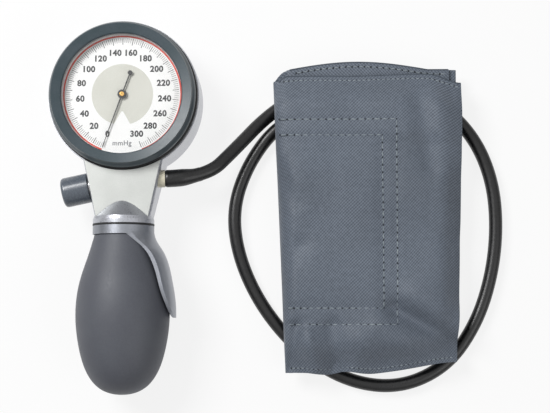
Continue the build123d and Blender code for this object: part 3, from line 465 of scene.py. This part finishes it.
@dataclass
class Studio:
    """A pale floor, soft lamps and the camera, all at given places."""

    camera_place: tuple[float, float, float] = (89.7, -111.1, 677.25)
    camera_target: tuple[float, float, float] = (73.57, -53.58, 20.0)
    lens: float = 88.6
    floor_size: float = 6000.0
    ambient: float = 0.24
    floor_white_share: float = 0.84

    def aim(self, place: Vector, target: Vector, made: bpy.types.Object) -> None:
        """Places a camera or a lamp and turns it to a target, its top towards +Y."""
        forward = (target - place).normalized()
        right = forward.cross(Vector((0, 1, 0))).normalized()
        turn = Matrix((right, right.cross(forward), -forward)).transposed()
        made.matrix_world = Matrix.Translation(place) @ turn.to_4x4()

    def camera(self) -> None:
        """Makes the scene's camera."""
        data = bpy.data.cameras.new("camera")
        data.lens = self.lens
        data.sensor_width = 36.0
        data.clip_start = 0.01
        made = bpy.data.objects.new("camera", data)
        bpy.context.scene.collection.objects.link(made)
        self.aim(Vector(self.camera_place) * MM, Vector(self.camera_target) * MM, made)
        bpy.context.scene.camera = made

    def lamp(self, name: str, place: tuple[float, float, float], size: float, power: float) -> None:
        """Adds a square soft lamp, its place and size in mm and its power in watts."""
        data = bpy.data.lights.new(name, "AREA")
        data.size = size * MM
        data.energy = power
        made = bpy.data.objects.new(name, data)
        bpy.context.scene.collection.objects.link(made)
        self.aim(Vector(place) * MM, Vector(self.camera_target) * MM, made)

    def seen_directly(self, tree: bpy.types.NodeTree) -> tuple[bpy.types.NodeSocket, bpy.types.NodeSocket]:
        """Sockets that are 1 for camera or transmitted rays, and 1 for glossy rays."""
        path = add(tree, "LightPath")
        seen = add(tree, "Math", {0: path.outputs["Is Camera Ray"], 1: path.outputs["Is Transmission Ray"]},
                   operation="MAXIMUM")
        return seen.outputs["Value"], path.outputs["Is Glossy Ray"]

    def world(self) -> None:
        """A white surround that lights softly and reflects brightest overhead, like a large soft box."""
        world = bpy.data.worlds.new("surround")
        bpy.context.scene.world = world
        world.use_nodes = True
        tree = world.node_tree
        tree.nodes.clear()
        seen, glossy = self.seen_directly(tree)
        height = add(tree, "SeparateXYZ", {"Vector": add(tree, "TexCoord").outputs["Generated"]})
        mirror = add(tree, "MapRange", {"Value": height.outputs["Z"], "To Min": 0.3, "To Max": 0.92})
        above = add(tree, "Math", {0: mirror.outputs["Result"], 1: self.ambient}, operation="SUBTRACT")
        glow = add(tree, "Math", {0: glossy, 1: above.outputs["Value"], 2: self.ambient}, operation="MULTIPLY_ADD")
        strength = add(tree, "Math", {0: glow.outputs["Value"], 1: seen}, operation="MAXIMUM")
        light = add(tree, "Background", {"Color": linear("#ffffff"), "Strength": strength.outputs["Value"]})
        add(tree, "OutputWorld", {"Surface": light.outputs["Background"]})

    def floor(self) -> None:
        """A pale floor that looks white and keeps a soft shadow."""
        shape = bmesh.new()
        bmesh.ops.create_grid(shape, x_segments=1, y_segments=1, size=self.floor_size / 2 * MM)
        bmesh.ops.translate(shape, verts=shape.verts, vec=Vector((74.0, -54.0, -0.15)) * MM)
        made = bpy.data.objects.new("floor", meshed(shape))
        bpy.context.scene.collection.objects.link(made)
        material = bpy.data.materials.new("pale_floor")
        material.use_nodes = True
        tree = material.node_tree
        tree.nodes.clear()
        seen, glossy = self.seen_directly(tree)
        either = add(tree, "Math", {0: seen, 1: glossy}, operation="MAXIMUM")
        share = add(tree, "Math", {0: either.outputs["Value"], 1: self.floor_white_share}, operation="MULTIPLY")
        matte = add(tree, "BsdfDiffuse", {"Color": linear("#f7f7f7")})
        white = add(tree, "Emission", {"Color": linear("#ffffff"), "Strength": 1.0})
        mixed = add(tree, "MixShader", {0: share.outputs["Value"], 1: matte.outputs["BSDF"],
                                        2: white.outputs["Emission"]})
        add(tree, "OutputMaterial", {"Surface": mixed.outputs["Shader"]})
        made.data.materials.append(material)

    def build(self) -> None:
        """Sets up the view, the floor and the light."""
        bpy.context.scene.view_settings.view_transform = "Standard"
        self.camera()
        self.world()
        self.floor()
        self.lamp("key", (-400.0, 330.0, 720.0), 380.0, 6.9)
        self.lamp("fill", (620.0, -420.0, 640.0), 560.0, 1.5)


# ---- Hose ----


@dataclass
class Hose:
    """The rubber hose and the moulded socket that takes its first stretch."""

    radius: float = 3.3
    exit: tuple[float, float, float] = (20.0, -40.1, 22.7)
    length: float = 541.8
    ground: float = 3.4
    socket_radius: float = 4.25
    socket_length: float = 17.0
    socket_steps: int = 3

    def route(self) -> list[tuple[float, float, float]]:
        """The hose's route in mm: off the nipple, once round the cuff's foot, into its port."""
        lying = [
            (88.0, 6.0), (112.0, 10.5), (136.0, 8.0), (157.5, -1.5), (173.0, -18.0), (181.5, -39.0),
            (183.5, -62.0), (180.8, -86.0), (173.0, -110.0), (158.0, -131.5), (134.0, -142.3),
            (107.5, -138.5), (84.0, -123.0), (66.0, -101.5), (54.8, -77.0), (52.0, -53.5),
            (59.5, -31.0), (74.0, -11.5), (92.0, -4.5), (107.0, -5.5),
        ]
        falling = [self.exit, (39.6, -39.6, 21.0), (54.0, -24.0, 12.5), (69.0, -6.8, 4.6)]
        return falling + [(x, y, self.ground) for x, y in lying]

    def spline(self, name: str, bevel: float) -> bpy.types.Object:
        """The route as one smooth NURBS curve.

        Args:
            name: The object's name.
            bevel: The tube's radius in mm, or 0 for a bare line.

        Returns:
            The curve object.
        """
        curve = bpy.data.curves.new(name, "CURVE")
        curve.dimensions = "3D"
        curve.resolution_u = 14
        curve.bevel_depth = bevel * MM
        curve.bevel_resolution = 7
        curve.use_fill_caps = bevel > 0
        line = curve.splines.new("NURBS")
        points = self.route()
        line.points.add(len(points) - 1)
        for point, place in zip(line.points, points):
            point.co = (*(Vector(place) * MM), 1.0)
        line.order_u = 3
        line.use_endpoint_u = True
        made = bpy.data.objects.new(name, curve)
        bpy.context.scene.collection.objects.link(made)
        return made

    def line_points(self) -> list[Vector]:
        """Points read from the hose's own spline, in metres."""
        bare = self.spline("bare_line", 0.0)
        bpy.context.view_layer.update()
        mesh = bpy.data.meshes.new_from_object(bare)
        points = [vertex.co.copy() for vertex in mesh.vertices]
        bpy.data.objects.remove(bare)
        bpy.data.meshes.remove(mesh)
        return points

    def socket_share(self, travelled: float) -> float:
        """Radius of the socket in mm at a distance from its mouth."""
        neck = self.radius + 0.12
        taper = ease((travelled - 0.45 * self.socket_length) / (0.5 * self.socket_length))
        mouth = 0.5 * ease(1 - travelled / 0.8)
        return self.socket_radius - mouth - (self.socket_radius - neck) * taper

    def socket(self) -> bpy.types.Object:
        """The tapered moulded end, swept along the spline."""
        points, radii, travelled = [], [], 0.0
        line = self.line_points()
        for here, there in zip(line, line[1:]):
            for step in range(self.socket_steps):
                points.append(here.lerp(there, step / self.socket_steps))
                radii.append(self.socket_share(travelled / MM) * MM)
                travelled += (there - here).length / self.socket_steps
            if travelled > self.socket_length * MM:
                break
        shape = bmesh.new()
        sweep(shape, points, radii, 40)
        bmesh.ops.recalc_face_normals(shape, faces=shape.faces)
        return piece("hose_socket_moulding", meshed(shape), EPDM_HOSE, "hose_rubber", stands_for=["hose_socket"])

    def build(self) -> None:
        """Builds the hose and its socket."""
        made = self.spline("hose_line", self.radius)
        made.data.materials.append(EPDM_HOSE.material())
        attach(made, ROOT)
        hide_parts("hose")
        self.socket()
        [value * MM for value in self.exit]
        LOG.info("hose_line: %d route points", len(made.data.splines[0].points))


# ---- Cuff ----


@dataclass(frozen=True)
class Crease:
    """A soft ridge (height above 0) or hollow (below 0) in the top layer, in mm."""

    start: Point
    end: Point
    width: float
    height: float

    def rise(self, x: float, y: float) -> float:
        """How much it lifts the cloth at a point."""
        away = off_segment(x, y, self.start, self.end) / self.width
        return self.height * math.exp(-away * away)


@dataclass(frozen=True)
class Seam:
    """A sewn line on one layer, in the cloth's own nominal mm."""

    start: Point
    end: Point
    pitch: float
    layer: float = 3.0


@dataclass
class Cuff:
    """The cuff: one nylon strip folded over itself, on top of its rolled inner end."""

    left: float = 74.0
    right: float = 164.0
    top: float = 12.0
    bottom: float = -134.5
    thickness: float = 0.95
    base: float = 7.8
    middle_heights: tuple[float, ...] = (0.0, 4.9, 7.0, 12.6)
    hem_heights: tuple[float, ...] = (0.0, 1.3, 2.6, 4.3)
    rows: int = 104

    # The strip's path across the cuff as (x, layer): inner end, two inner folds, the wide
    # fold on the left, and the top layer that ends at the right edge.
    path: tuple[Point, ...] = (
        (158.4, 2.0), (146.0, 2.0), (118.0, 2.0), (94.0, 2.0), (84.5, 2.0), (80.6, 1.9), (79.6, 1.5),
        (80.6, 1.1), (84.5, 1.0), (96.0, 1.0), (124.0, 1.0), (148.0, 1.0), (156.0, 0.98), (160.6, 0.8),
        (161.8, 0.5), (160.6, 0.18), (156.0, 0.02), (148.0, 0.0), (124.0, 0.0), (98.0, 0.0), (86.0, 0.0),
        (78.5, 0.05), (74.6, 0.35), (73.2, 1.0), (73.1, 1.8), (74.0, 2.55), (77.0, 2.93), (84.0, 3.0),
        (98.0, 3.0), (124.0, 3.0), (148.0, 3.0), (164.0, 3.0),
    )
    creases: tuple[Crease, ...] = (
        Crease((131.0, -103.0), (163.0, -121.0), 4.5, -1.7),
        Crease((142.0, -97.0), (165.0, -109.0), 6.5, 0.9),
        Crease((124.0, -112.0), (150.0, -131.0), 6.0, 0.9),
        Crease((84.0, -112.0), (80.0, -131.0), 3.6, -1.0),
        Crease((89.0, -116.0), (93.0, -133.0), 4.0, 1.1),
        Crease((101.0, -112.0), (104.0, -134.0), 4.6, -1.2),
        Crease((115.0, -118.0), (112.0, -135.0), 6.0, 0.8),
        Crease((144.0, -1.0), (150.0, -34.0), 5.0, -0.8),
        Crease((158.0, -8.0), (160.0, -60.0), 5.0, 0.5),
        Crease((74.0, -34.0), (84.0, -52.0), 4.0, -0.5),
        Crease((74.0, -86.0), (86.0, -72.0), 4.5, -0.5),
        Crease((136.0, -60.0), (160.0, -70.0), 7.0, -0.5),
    )
    seams: tuple[Seam, ...] = (
        Seam((75.0, -10.9), (132.0, -10.9), 3.7), Seam((132.0, -10.9), (132.0, -110.9), 3.7),
        Seam((132.0, -110.9), (75.0, -110.9), 3.7), Seam((75.0, -18.6), (125.0, -18.6), 3.7),
        Seam((125.0, -18.6), (125.0, -103.0), 3.7), Seam((125.0, -103.0), (75.0, -103.0), 3.7),
    )
    hem_inset: float = 2.3
    crease_depth: float = 2.5
    binding_radius: float = 0.55
    hem_pitch: float = 2.7

    def top_edge(self, x: float, layer: float) -> float:
        """Where the far hem lies: straight on the top layer, bulging on the inner ones."""
        outer = 11.7 + 0.8 * ease((x - 110.0) / 36.0) - 4.6 * ease((x - 148.0) / 16.0)
        inner = 15.2 + 3.9 * math.sin(math.pi * min(1.0, max(0.0, (x - 80.0) / 68.0)))
        corner = 6.5 * max(0.0, 1 - (x - 73.0) / 7.0) ** 2
        share = ease(layer - 2.0)
        return inner + (outer - inner) * share - corner

    def bottom_edge(self, x: float) -> float:
        """Where the near hem lies, in a low wave that rises to the right."""
        ripple = 0.9 * math.sin(2 * math.pi * (x - 100.0) / 26.0) * math.exp(-(((x - 101.0) / 16.0) ** 2))
        return self.bottom + 5.4 * ease((x - 118.0) / 46.0) + ripple

    def share_at(self, x: float, y: float, layer: float) -> float:
        """The part of the way from the near hem to the far one at a nominal y."""
        low = self.bottom_edge(x)
        return (y - low) / (self.top_edge(x, layer) - low)

    def layer_height(self, layer: float, fullness: float) -> float:
        """Height of a layer over the lowest one, between flat hems and the full middle."""
        index = min(len(self.middle_heights) - 2, int(layer))
        part = layer - index
        middle = self.middle_heights[index] + part * (self.middle_heights[index + 1] - self.middle_heights[index])
        hem = self.hem_heights[index] + part * (self.hem_heights[index + 1] - self.hem_heights[index])
        return hem + (middle - hem) * fullness

    def droop(self, x: float, y: float) -> float:
        """How far the sides sag where nothing holds them up."""
        between = ease((-y - 26.0) / 16.0) * ease((y + 112.0) / 16.0)
        return 4.6 * between * max(ease((84.0 - x) / 9.0), 0.8 * ease((x - 156.0) / 8.0))

    def settle(self, x: float, share: float, layer: float) -> Vector:
        """Lays a nominal point of the strip down.

        Args:
            x: Nominal place across the cuff, in mm.
            share: Part of the way from the near hem to the far one.
            layer: Which layer, from 0, the lowest, to 3, the top one.

        Returns:
            The point, in metres.
        """
        low = self.bottom_edge(x)
        y = low + share * (self.top_edge(x, layer) - low)
        down = (self.top - y) / (self.top - self.bottom)
        side_left, side_right = 73.7 + 6.0 * down, 165.4 - 3.6 * max(0.0, down) ** 1.5
        across = (x - self.left) / (self.right - self.left)
        px = side_left + across * (side_right - side_left)
        from_hem = min(y - low, max(0.0, self.top_edge(x, 3.0) - y))
        full = ease((from_hem + 1.0) / 17.0) * (1 - 0.5 * ease((x - 152.0) / 12.0))
        z = self.base + 1.25 * ease((y + 24.0) / 8.0) - self.droop(px, y) + self.layer_height(layer, full)
        shown = ease(layer - 2.0)
        if shown > 0:
            rise = self.crease_depth * sum(crease.rise(px, y) for crease in self.creases)
            rise += 0.9 * noise.noise(Vector((px / 21.0, y / 26.0, 3.7)))
            rise += 0.16 * noise.noise(Vector((px / 7.0, y / 8.0, 9.1)))
            rise += 0.5 * ease((125.0 - x) / 6.0) * ease((y + 103.0) / 6.0) * ease((-18.6 - y) / 6.0)
            pulled = min(off_segment(x, y, seam.start, seam.end) for seam in self.seams)
            rise -= 0.42 * math.exp(-((pulled / 0.9) ** 2))
            rise += 0.3 * ease((4.6 - from_hem) / 0.7) - 0.22 * math.exp(-(((from_hem - self.hem_inset) / 0.6) ** 2))
            z += shown * rise
        return Vector((px, y, z)) * MM

    def laid_strip(self, path: Sequence[Point], rows: int, place) -> bmesh.types.BMesh:
        """Sweeps a path across the cuff along its width and lays it down.

        Args:
            path: (x, layer) points.
            rows: Steps from the near hem to the far one.
            place: A function from (x, share, layer) to a point in metres.

        Returns:
            The strip, with a UV map in metres of cloth.
        """
        curve = bpy.data.curves.new("strip_path", "CURVE")
        curve.dimensions = "3D"
        curve.resolution_u = 10
        line = curve.splines.new("NURBS")
        line.points.add(len(path) - 1)
        for point, (x, layer) in zip(line.points, path):
            point.co = (x, 0.0, layer, 1.0)
        line.order_u = 3
        line.use_endpoint_u = True
        holder = bpy.data.objects.new("strip_path", curve)
        bpy.context.scene.collection.objects.link(holder)
        bpy.context.view_layer.update()
        mesh = bpy.data.meshes.new_from_object(holder)
        bpy.data.objects.remove(holder)
        strip = bmesh.new()
        strip.from_mesh(mesh)
        bpy.data.meshes.remove(mesh)
        strip.verts.ensure_lookup_table()
        run = [0.0]
        for here, there in zip(strip.verts[:-1], strip.verts[1:]):
            step = there.co - here.co
            run.append(run[-1] + math.hypot(step.x, 4.3 * step.z) * MM)
        cloth = strip.verts.layers.float.new("run")
        for vertex, value in zip(strip.verts, run):
            vertex[cloth] = value
        edge_row = list(strip.edges)
        for _ in range(rows):
            grown = bmesh.ops.extrude_edge_only(strip, edges=edge_row)["geom"]
            verts = [item for item in grown if isinstance(item, bmesh.types.BMVert)]
            bmesh.ops.translate(strip, verts=verts, vec=(0.0, 1.0 / rows, 0.0))
            edge_row = [item for item in grown if isinstance(item, bmesh.types.BMEdge)
                        and abs(item.verts[0].co.y - item.verts[1].co.y) < 0.5 / rows]
        uv = strip.loops.layers.uv.new("cloth")
        width = (self.top - self.bottom) * MM
        for face in strip.faces:
            for loop in face.loops:
                loop[uv].uv = (loop.vert[cloth], loop.vert.co.y * width)
        for vertex in strip.verts:
            vertex.co = place(vertex.co.x, vertex.co.y, vertex.co.z)
        bmesh.ops.recalc_face_normals(strip, faces=strip.faces)
        return strip

    def thicken(self, made: bpy.types.Object, thickness: float) -> None:
        """Gives a sheet its thickness and rolls its cut edges a little."""
        solid = made.modifiers.new("thickness", "SOLIDIFY")
        solid.thickness = thickness * MM
        solid.offset = 0.0
        rounded = made.modifiers.new("rolled_edge", "BEVEL")
        rounded.width = 0.3 * MM
        rounded.segments = 2
        rounded.limit_method = "ANGLE"
        rounded.angle_limit = math.radians(60)

    def outer_strip(self) -> bpy.types.Object:
        """The folded strip that shows."""
        shape = self.laid_strip(self.path, self.rows, self.settle)
        made = piece("cuff_strip", meshed(shape), NYLON_TWILL, "cuff_fabric", stands_for=["cuff_outer_wrap"],
                     crease_angle=80.0)
        self.thicken(made, self.thickness)
        return made

    def settle_core(self, x: float, share: float, layer: float) -> Vector:
        """Lays a point of the rolled inner end down, under the strip."""
        low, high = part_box("cuff_inner_wrap")
        y = low.y / MM + 0.8 + share * ((high.y - low.y) / MM - 1.6)
        from_hem = min(share, 1 - share) * (high.y - low.y) / MM
        full = 0.62 + 0.38 * ease(from_hem / 14.0)
        z = 0.75 + layer * 5.4 * full + 0.12 * noise.noise(Vector((x / 15.0, y / 19.0, 1.3)))
        return Vector((x, y, z)) * MM

    def core_roll(self) -> bpy.types.Object:
        """The rolled inner end that the strip rests on."""
        low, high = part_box("cuff_inner_wrap")
        left, right = low.x / MM + 0.8, high.x / MM - 0.8
        path = [(right - 9, 0.5), (left + 30, 0.5), (left + 7, 0.5), (left + 3.2, 0.45), (left + 2.6, 0.3),
                (left + 3.2, 0.06), (left + 7, 0.0), (left + 30, 0.0), (right - 8, 0.0), (right - 1.5, 0.1),
                (right, 0.5), (right - 1.5, 0.9), (right - 8, 1.0), (left + 30, 1.0), (left + 1.0, 1.0)]
        shape = self.laid_strip(path, 44, self.settle_core)
        made = piece("cuff_inner_roll", meshed(shape), NYLON_TWILL, "cuff_fabric", stands_for=["cuff_inner_wrap"],
                     crease_angle=80.0)
        self.thicken(made, self.thickness)
        return made

    def sewn_lines(self) -> list[Seam]:
        """Every seam: the patch's outline and the hems of the two layers that show."""
        lines = list(self.seams)
        for layer, first, last in ((3.0, 78.0, 163.0), (2.0, 84.0, 157.0)):
            corners = [first + (last - first) * i / 12 for i in range(13)]
            tops = [(x, self.top_edge(x, layer) - self.hem_inset) for x in corners]
            lines += [Seam(a, b, self.hem_pitch, layer) for a, b in zip(tops, tops[1:])]
        corners = [76.0 + 86.0 * i / 12 for i in range(13)]
        lows = [(x, self.bottom_edge(x) + self.hem_inset) for x in corners]
        return lines + [Seam(a, b, self.hem_pitch) for a, b in zip(lows, lows[1:])]

    def stitches(self) -> None:
        """Lays thread and needle holes along every seam."""
        threads, holes = bmesh.new(), bmesh.new()
        lift = Vector((0.0, 0.0, (self.thickness / 2 + 0.05) * MM))
        for seam in self.sewn_lines():
            span = math.dist(seam.start, seam.end)
            count = max(1, round(span / seam.pitch))
            for i in range(count):
                ends = []
                for part in (i + 0.12, i + 0.88, i):
                    x, y = (a + (b - a) * part / count for a, b in zip(seam.start, seam.end))
                    ends.append(self.settle(x, self.share_at(x, y, seam.layer), seam.layer) + lift)
                turn = (ends[1] - ends[0]).to_track_quat("X", "Z").to_matrix().to_4x4()
                length = (ends[1] - ends[0]).length / 2
                body = Matrix.Diagonal((length, 0.29 * MM, 0.24 * MM, 1.0))
                bmesh.ops.create_uvsphere(threads, u_segments=8, v_segments=5, radius=1.0,
                                          matrix=Matrix.Translation((ends[0] + ends[1]) / 2) @ turn @ body)
                dot = Matrix.Diagonal((0.5 * MM, 0.5 * MM, 0.16 * MM, 1.0))
                bmesh.ops.create_uvsphere(holes, u_segments=8, v_segments=4, radius=1.0,
                                          matrix=Matrix.Translation(ends[2]) @ turn @ dot)
        piece("cuff_stitches", meshed(threads), SEWING_THREAD, "cuff_fabric")
        piece("cuff_needle_holes", meshed(holes), NEEDLE_HOLE, "cuff_fabric")

    def binding(self) -> bpy.types.Object:
        """The rolled, darker edge of the far hem on each layer that shows."""
        shape = bmesh.new()
        runs = [(3.0, 75.5, 163.8, self.top_edge), (2.0, 81.0, 158.0, self.top_edge)]
        for layer, first, last, edge in runs:
            steps = 90
            places = [first + (last - first) * i / steps for i in range(steps + 1)]
            points = [self.settle(x, self.share_at(x, edge(x, layer) - 0.25, layer), layer) for x in places]
            sweep(shape, points, [self.binding_radius * MM] * len(points), 10)
        bmesh.ops.recalc_face_normals(shape, faces=shape.faces)
        # The binding's darker nylon is painted shade along the hem's step.
        return piece("cuff_hem_binding_painted_shade", meshed(shape), HEM_SHADE_TAPE, "cuff_fabric")

    def build(self) -> None:
        strip = self.outer_strip()
        roll = self.core_roll()
        self.stitches()
        self.binding()


# ---- Dial ----


@dataclass
class Dial:
    """The printed scale, from 0 to 300 mmHg over 320 degrees."""

    full_scale: int = 300
    sweep: float = 320.0
    numeral_radius: float = 20.6
    numeral_size: float = 4.0
    tick_outer: float = 27.5
    tick_inner: float = 25.3
    long_tick_inner: float = 24.4
    tick_width: float = 0.16
    long_tick_width: float = 0.28
    ring_width: float = 0.75
    disc_radius: float = 14.9
    ink: float = 0.04

    def level(self) -> float:
        """Height of the printed face in mm."""
        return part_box("dial_plate")[1].z / MM

    def flange_radius(self) -> float:
        """Inner radius in mm of the ring that frames the dial."""
        return min(math.hypot(v.co.x, v.co.y) for v in frame["nodes"]["dial_flange_ring"].data.vertices) / MM

    def angle(self, pressure: float) -> float:
        """Angle of a reading, in radians clockwise from the top."""
        return math.radians(self.sweep * (pressure / self.full_scale - 0.5))

    def ticks(self) -> None:
        """A line at every 2 mmHg, longer at every 10."""
        shape = bmesh.new()
        for reading in range(0, self.full_scale + 1, 2):
            long = reading % 10 == 0
            inner, width = (self.long_tick_inner, self.long_tick_width) if long else (self.tick_inner, self.tick_width)
            size = Matrix.Diagonal((width * MM, (self.tick_outer - inner) * MM, self.ink * MM, 1.0))
            out = Matrix.Translation(Vector((0, (self.tick_outer + inner) / 2, self.level() + self.ink / 2)) * MM)
            turn = Matrix.Rotation(-self.angle(reading), 4, "Z")
            bmesh.ops.create_cube(shape, size=1.0, matrix=turn @ out @ size)
        piece("dial_ticks", meshed(shape), DARK_INK, "dark_metal")

    def lettering(self, shape: bmesh.types.BMesh, text: str, size: float, centre: Point, bolder: float) -> None:
        """Adds text to a shape.

        Args:
            shape: The bmesh that gets it.
            text: Numbers or a unit.
            size: Font size in mm.
            centre: Where its middle is, in mm.
            bolder: How far the strokes grow, in mm.
        """
        data = bpy.data.curves.new("lettering", "FONT")
        data.body = text
        data.size = size * MM
        data.align_x, data.align_y = "CENTER", "CENTER"
        data.offset = bolder * MM
        data.extrude = self.ink / 2 * MM
        data.resolution_u = 4
        data.space_character = 1.08
        holder = bpy.data.objects.new("lettering", data)
        bpy.context.scene.collection.objects.link(holder)
        bpy.context.view_layer.update()
        mesh = bpy.data.meshes.new_from_object(holder)
        bpy.data.objects.remove(holder)
        mesh.transform(Matrix.Translation(Vector((*centre, self.level() + self.ink / 2)) * MM))
        shape.from_mesh(mesh)
        bpy.data.meshes.remove(mesh)

    def numerals(self) -> None:
        """Upright numbers at every 20 mmHg."""
        shape = bmesh.new()
        for reading in range(0, self.full_scale + 1, 20):
            turn = self.angle(reading)
            place = (self.numeral_radius * math.sin(turn), self.numeral_radius * math.cos(turn))
            self.lettering(shape, str(reading), self.numeral_size, place, 0.17)
        bmesh.ops.remove_doubles(shape, verts=shape.verts, dist=1e-7)
        bmesh.ops.recalc_face_normals(shape, faces=shape.faces)
        piece("dial_numerals", meshed(shape), DARK_INK, "dark_metal")

    def unit(self) -> None:
        """The unit, low on the dial."""
        shape = bmesh.new()
        self.lettering(shape, "mmHg", 3.3, (0.0, -23.8), 0.06)
        bmesh.ops.remove_doubles(shape, verts=shape.verts, dist=1e-7)
        bmesh.ops.recalc_face_normals(shape, faces=shape.faces)
        piece("dial_unit", meshed(shape), GREY_INK, "dark_metal")

    def red_ring(self) -> None:
        """The coloured ring outside the ticks, open at the bottom."""
        low, high = self.level(), self.level() + self.ink
        outer = self.flange_radius() - 0.05
        inner = outer - self.ring_width
        corners = [(inner, low), (outer, low), (outer, high), (inner, high)]
        shape = spun(corners, (0.0, 0.0), self.sweep, -90 + (360 - self.sweep) / 2, 160)
        piece("dial_red_ring", meshed(shape), RED_INK, "dial_white")

    def centre_disc(self) -> None:
        """The tinted disc, with a plain white wedge at its foot."""
        shape = bmesh.new()
        middle = Matrix.Translation(Vector((0, 0, self.level() + self.ink / 4)) * MM)
        bmesh.ops.create_cone(shape, cap_ends=True, segments=128, radius1=self.disc_radius * MM,
                              radius2=self.disc_radius * MM, depth=self.ink / 2 * MM, matrix=middle)
        piece("dial_tinted_disc", meshed(shape), BEIGE_INK, "dial_white")
        wedge = bmesh.new()
        place = Matrix.Translation(Vector((0, -12.6, self.level() + self.ink / 2)) * MM)
        bmesh.ops.create_cone(wedge, cap_ends=True, segments=3, radius1=5.0 * MM, radius2=5.0 * MM,
                              depth=self.ink * MM, matrix=place)
        edges = [edge for edge in wedge.edges if abs(edge.verts[0].co.z - edge.verts[1].co.z) > 0.5 * self.ink * MM]
        bmesh.ops.bevel(wedge, geom=edges, offset=1.2 * MM, affect="EDGES", segments=5, profile=0.5, material=-1)
        piece("dial_white_wedge", meshed(wedge), DIAL_ENAMEL, "dial_white")

    def build(self) -> None:
        """Prints the dial."""
        self.centre_disc()
        self.red_ring()
        self.ticks()
        self.numerals()
        self.unit()


# ---- Rounded metal pieces ----


@dataclass
class RoundedCopy:
    """A CAD node whose hard edges get the small radius that catches the light."""

    node: str
    name: str
    body: str
    finish: Finish
    slot: str
    radius: float
    sharper_than: float = 40.0
    # A lighter finish for the rounded faces, which paints a highlight along the edges.
    edge_finish: Finish | None = None

    def build(self) -> None:
        """Merges a copy of the node's mesh, rounds its edges and shows it instead."""
        shape = bmesh.new()
        shape.from_mesh(frame["nodes"][self.node].data)
        bmesh.ops.remove_doubles(shape, verts=shape.verts, dist=2e-6)
        bmesh.ops.dissolve_limit(shape, angle_limit=math.radians(0.6), verts=shape.verts, edges=shape.edges)
        limit = math.radians(self.sharper_than)
        hard = [edge for edge in shape.edges if len(edge.link_faces) == 2 and edge.calc_face_angle() > limit]
        rounded = bmesh.ops.bevel(shape, geom=hard, offset=self.radius * MM, affect="EDGES", segments=3, profile=0.5,
                                  material=-1, clamp_overlap=True)
        # The rounded faces take the second finish when there is one: a painted highlight.
        for face in rounded["faces"]:
            face.material_index = 1 if self.edge_finish else 0
        bmesh.ops.triangulate(shape, faces=[face for face in shape.faces if len(face.verts) > 4])
        made = piece(self.name, meshed(shape), self.finish, self.slot, self.body, [self.node], 32.0)
        if self.edge_finish:
            made.data.materials.append(self.edge_finish.material())
        shading = made.modifiers.new("even_shading", "WEIGHTED_NORMAL")
        shading.weight = 100
        shading.keep_sharp = True


def dress_frame() -> None:
    """Gives every CAD node the finish of its slot."""
    slots = {part["node"]: part["material_slot"] for part in frame["record"]["subparts"]}
    for name, node in frame["nodes"].items():
        finish = SLOT_FINISHES[slots[name]]
        node.data.materials.clear()
        node.data.materials.append(finish.material())
    LOG.info("dressed %d CAD nodes", len(slots))


def main() -> None:
    """Builds the view, the hose, the cuff, the dial and the metal pieces in order."""
    logging.basicConfig(level=logging.INFO, format="%(name)s %(message)s")
    Studio().build()
    Hose().build()
    dress_frame()
    Cuff().build()
    Dial().build()
    # The lever's rounded edges get a lighter copy of its metal, a painted highlight.
    RoundedCopy("palm_lever", "palm_lever_rounded", "palm_lever", BRUSHED_LEVER, "lever_metal", 0.55,
                edge_finish=LEVER_EDGE_HIGHLIGHT).build()
    RoundedCopy("front_plate", "front_plate_rounded", ROOT, BLASTED_ALUMINIUM, "satin_plate", 0.22).build()


if __name__ == "__main__":
    main()
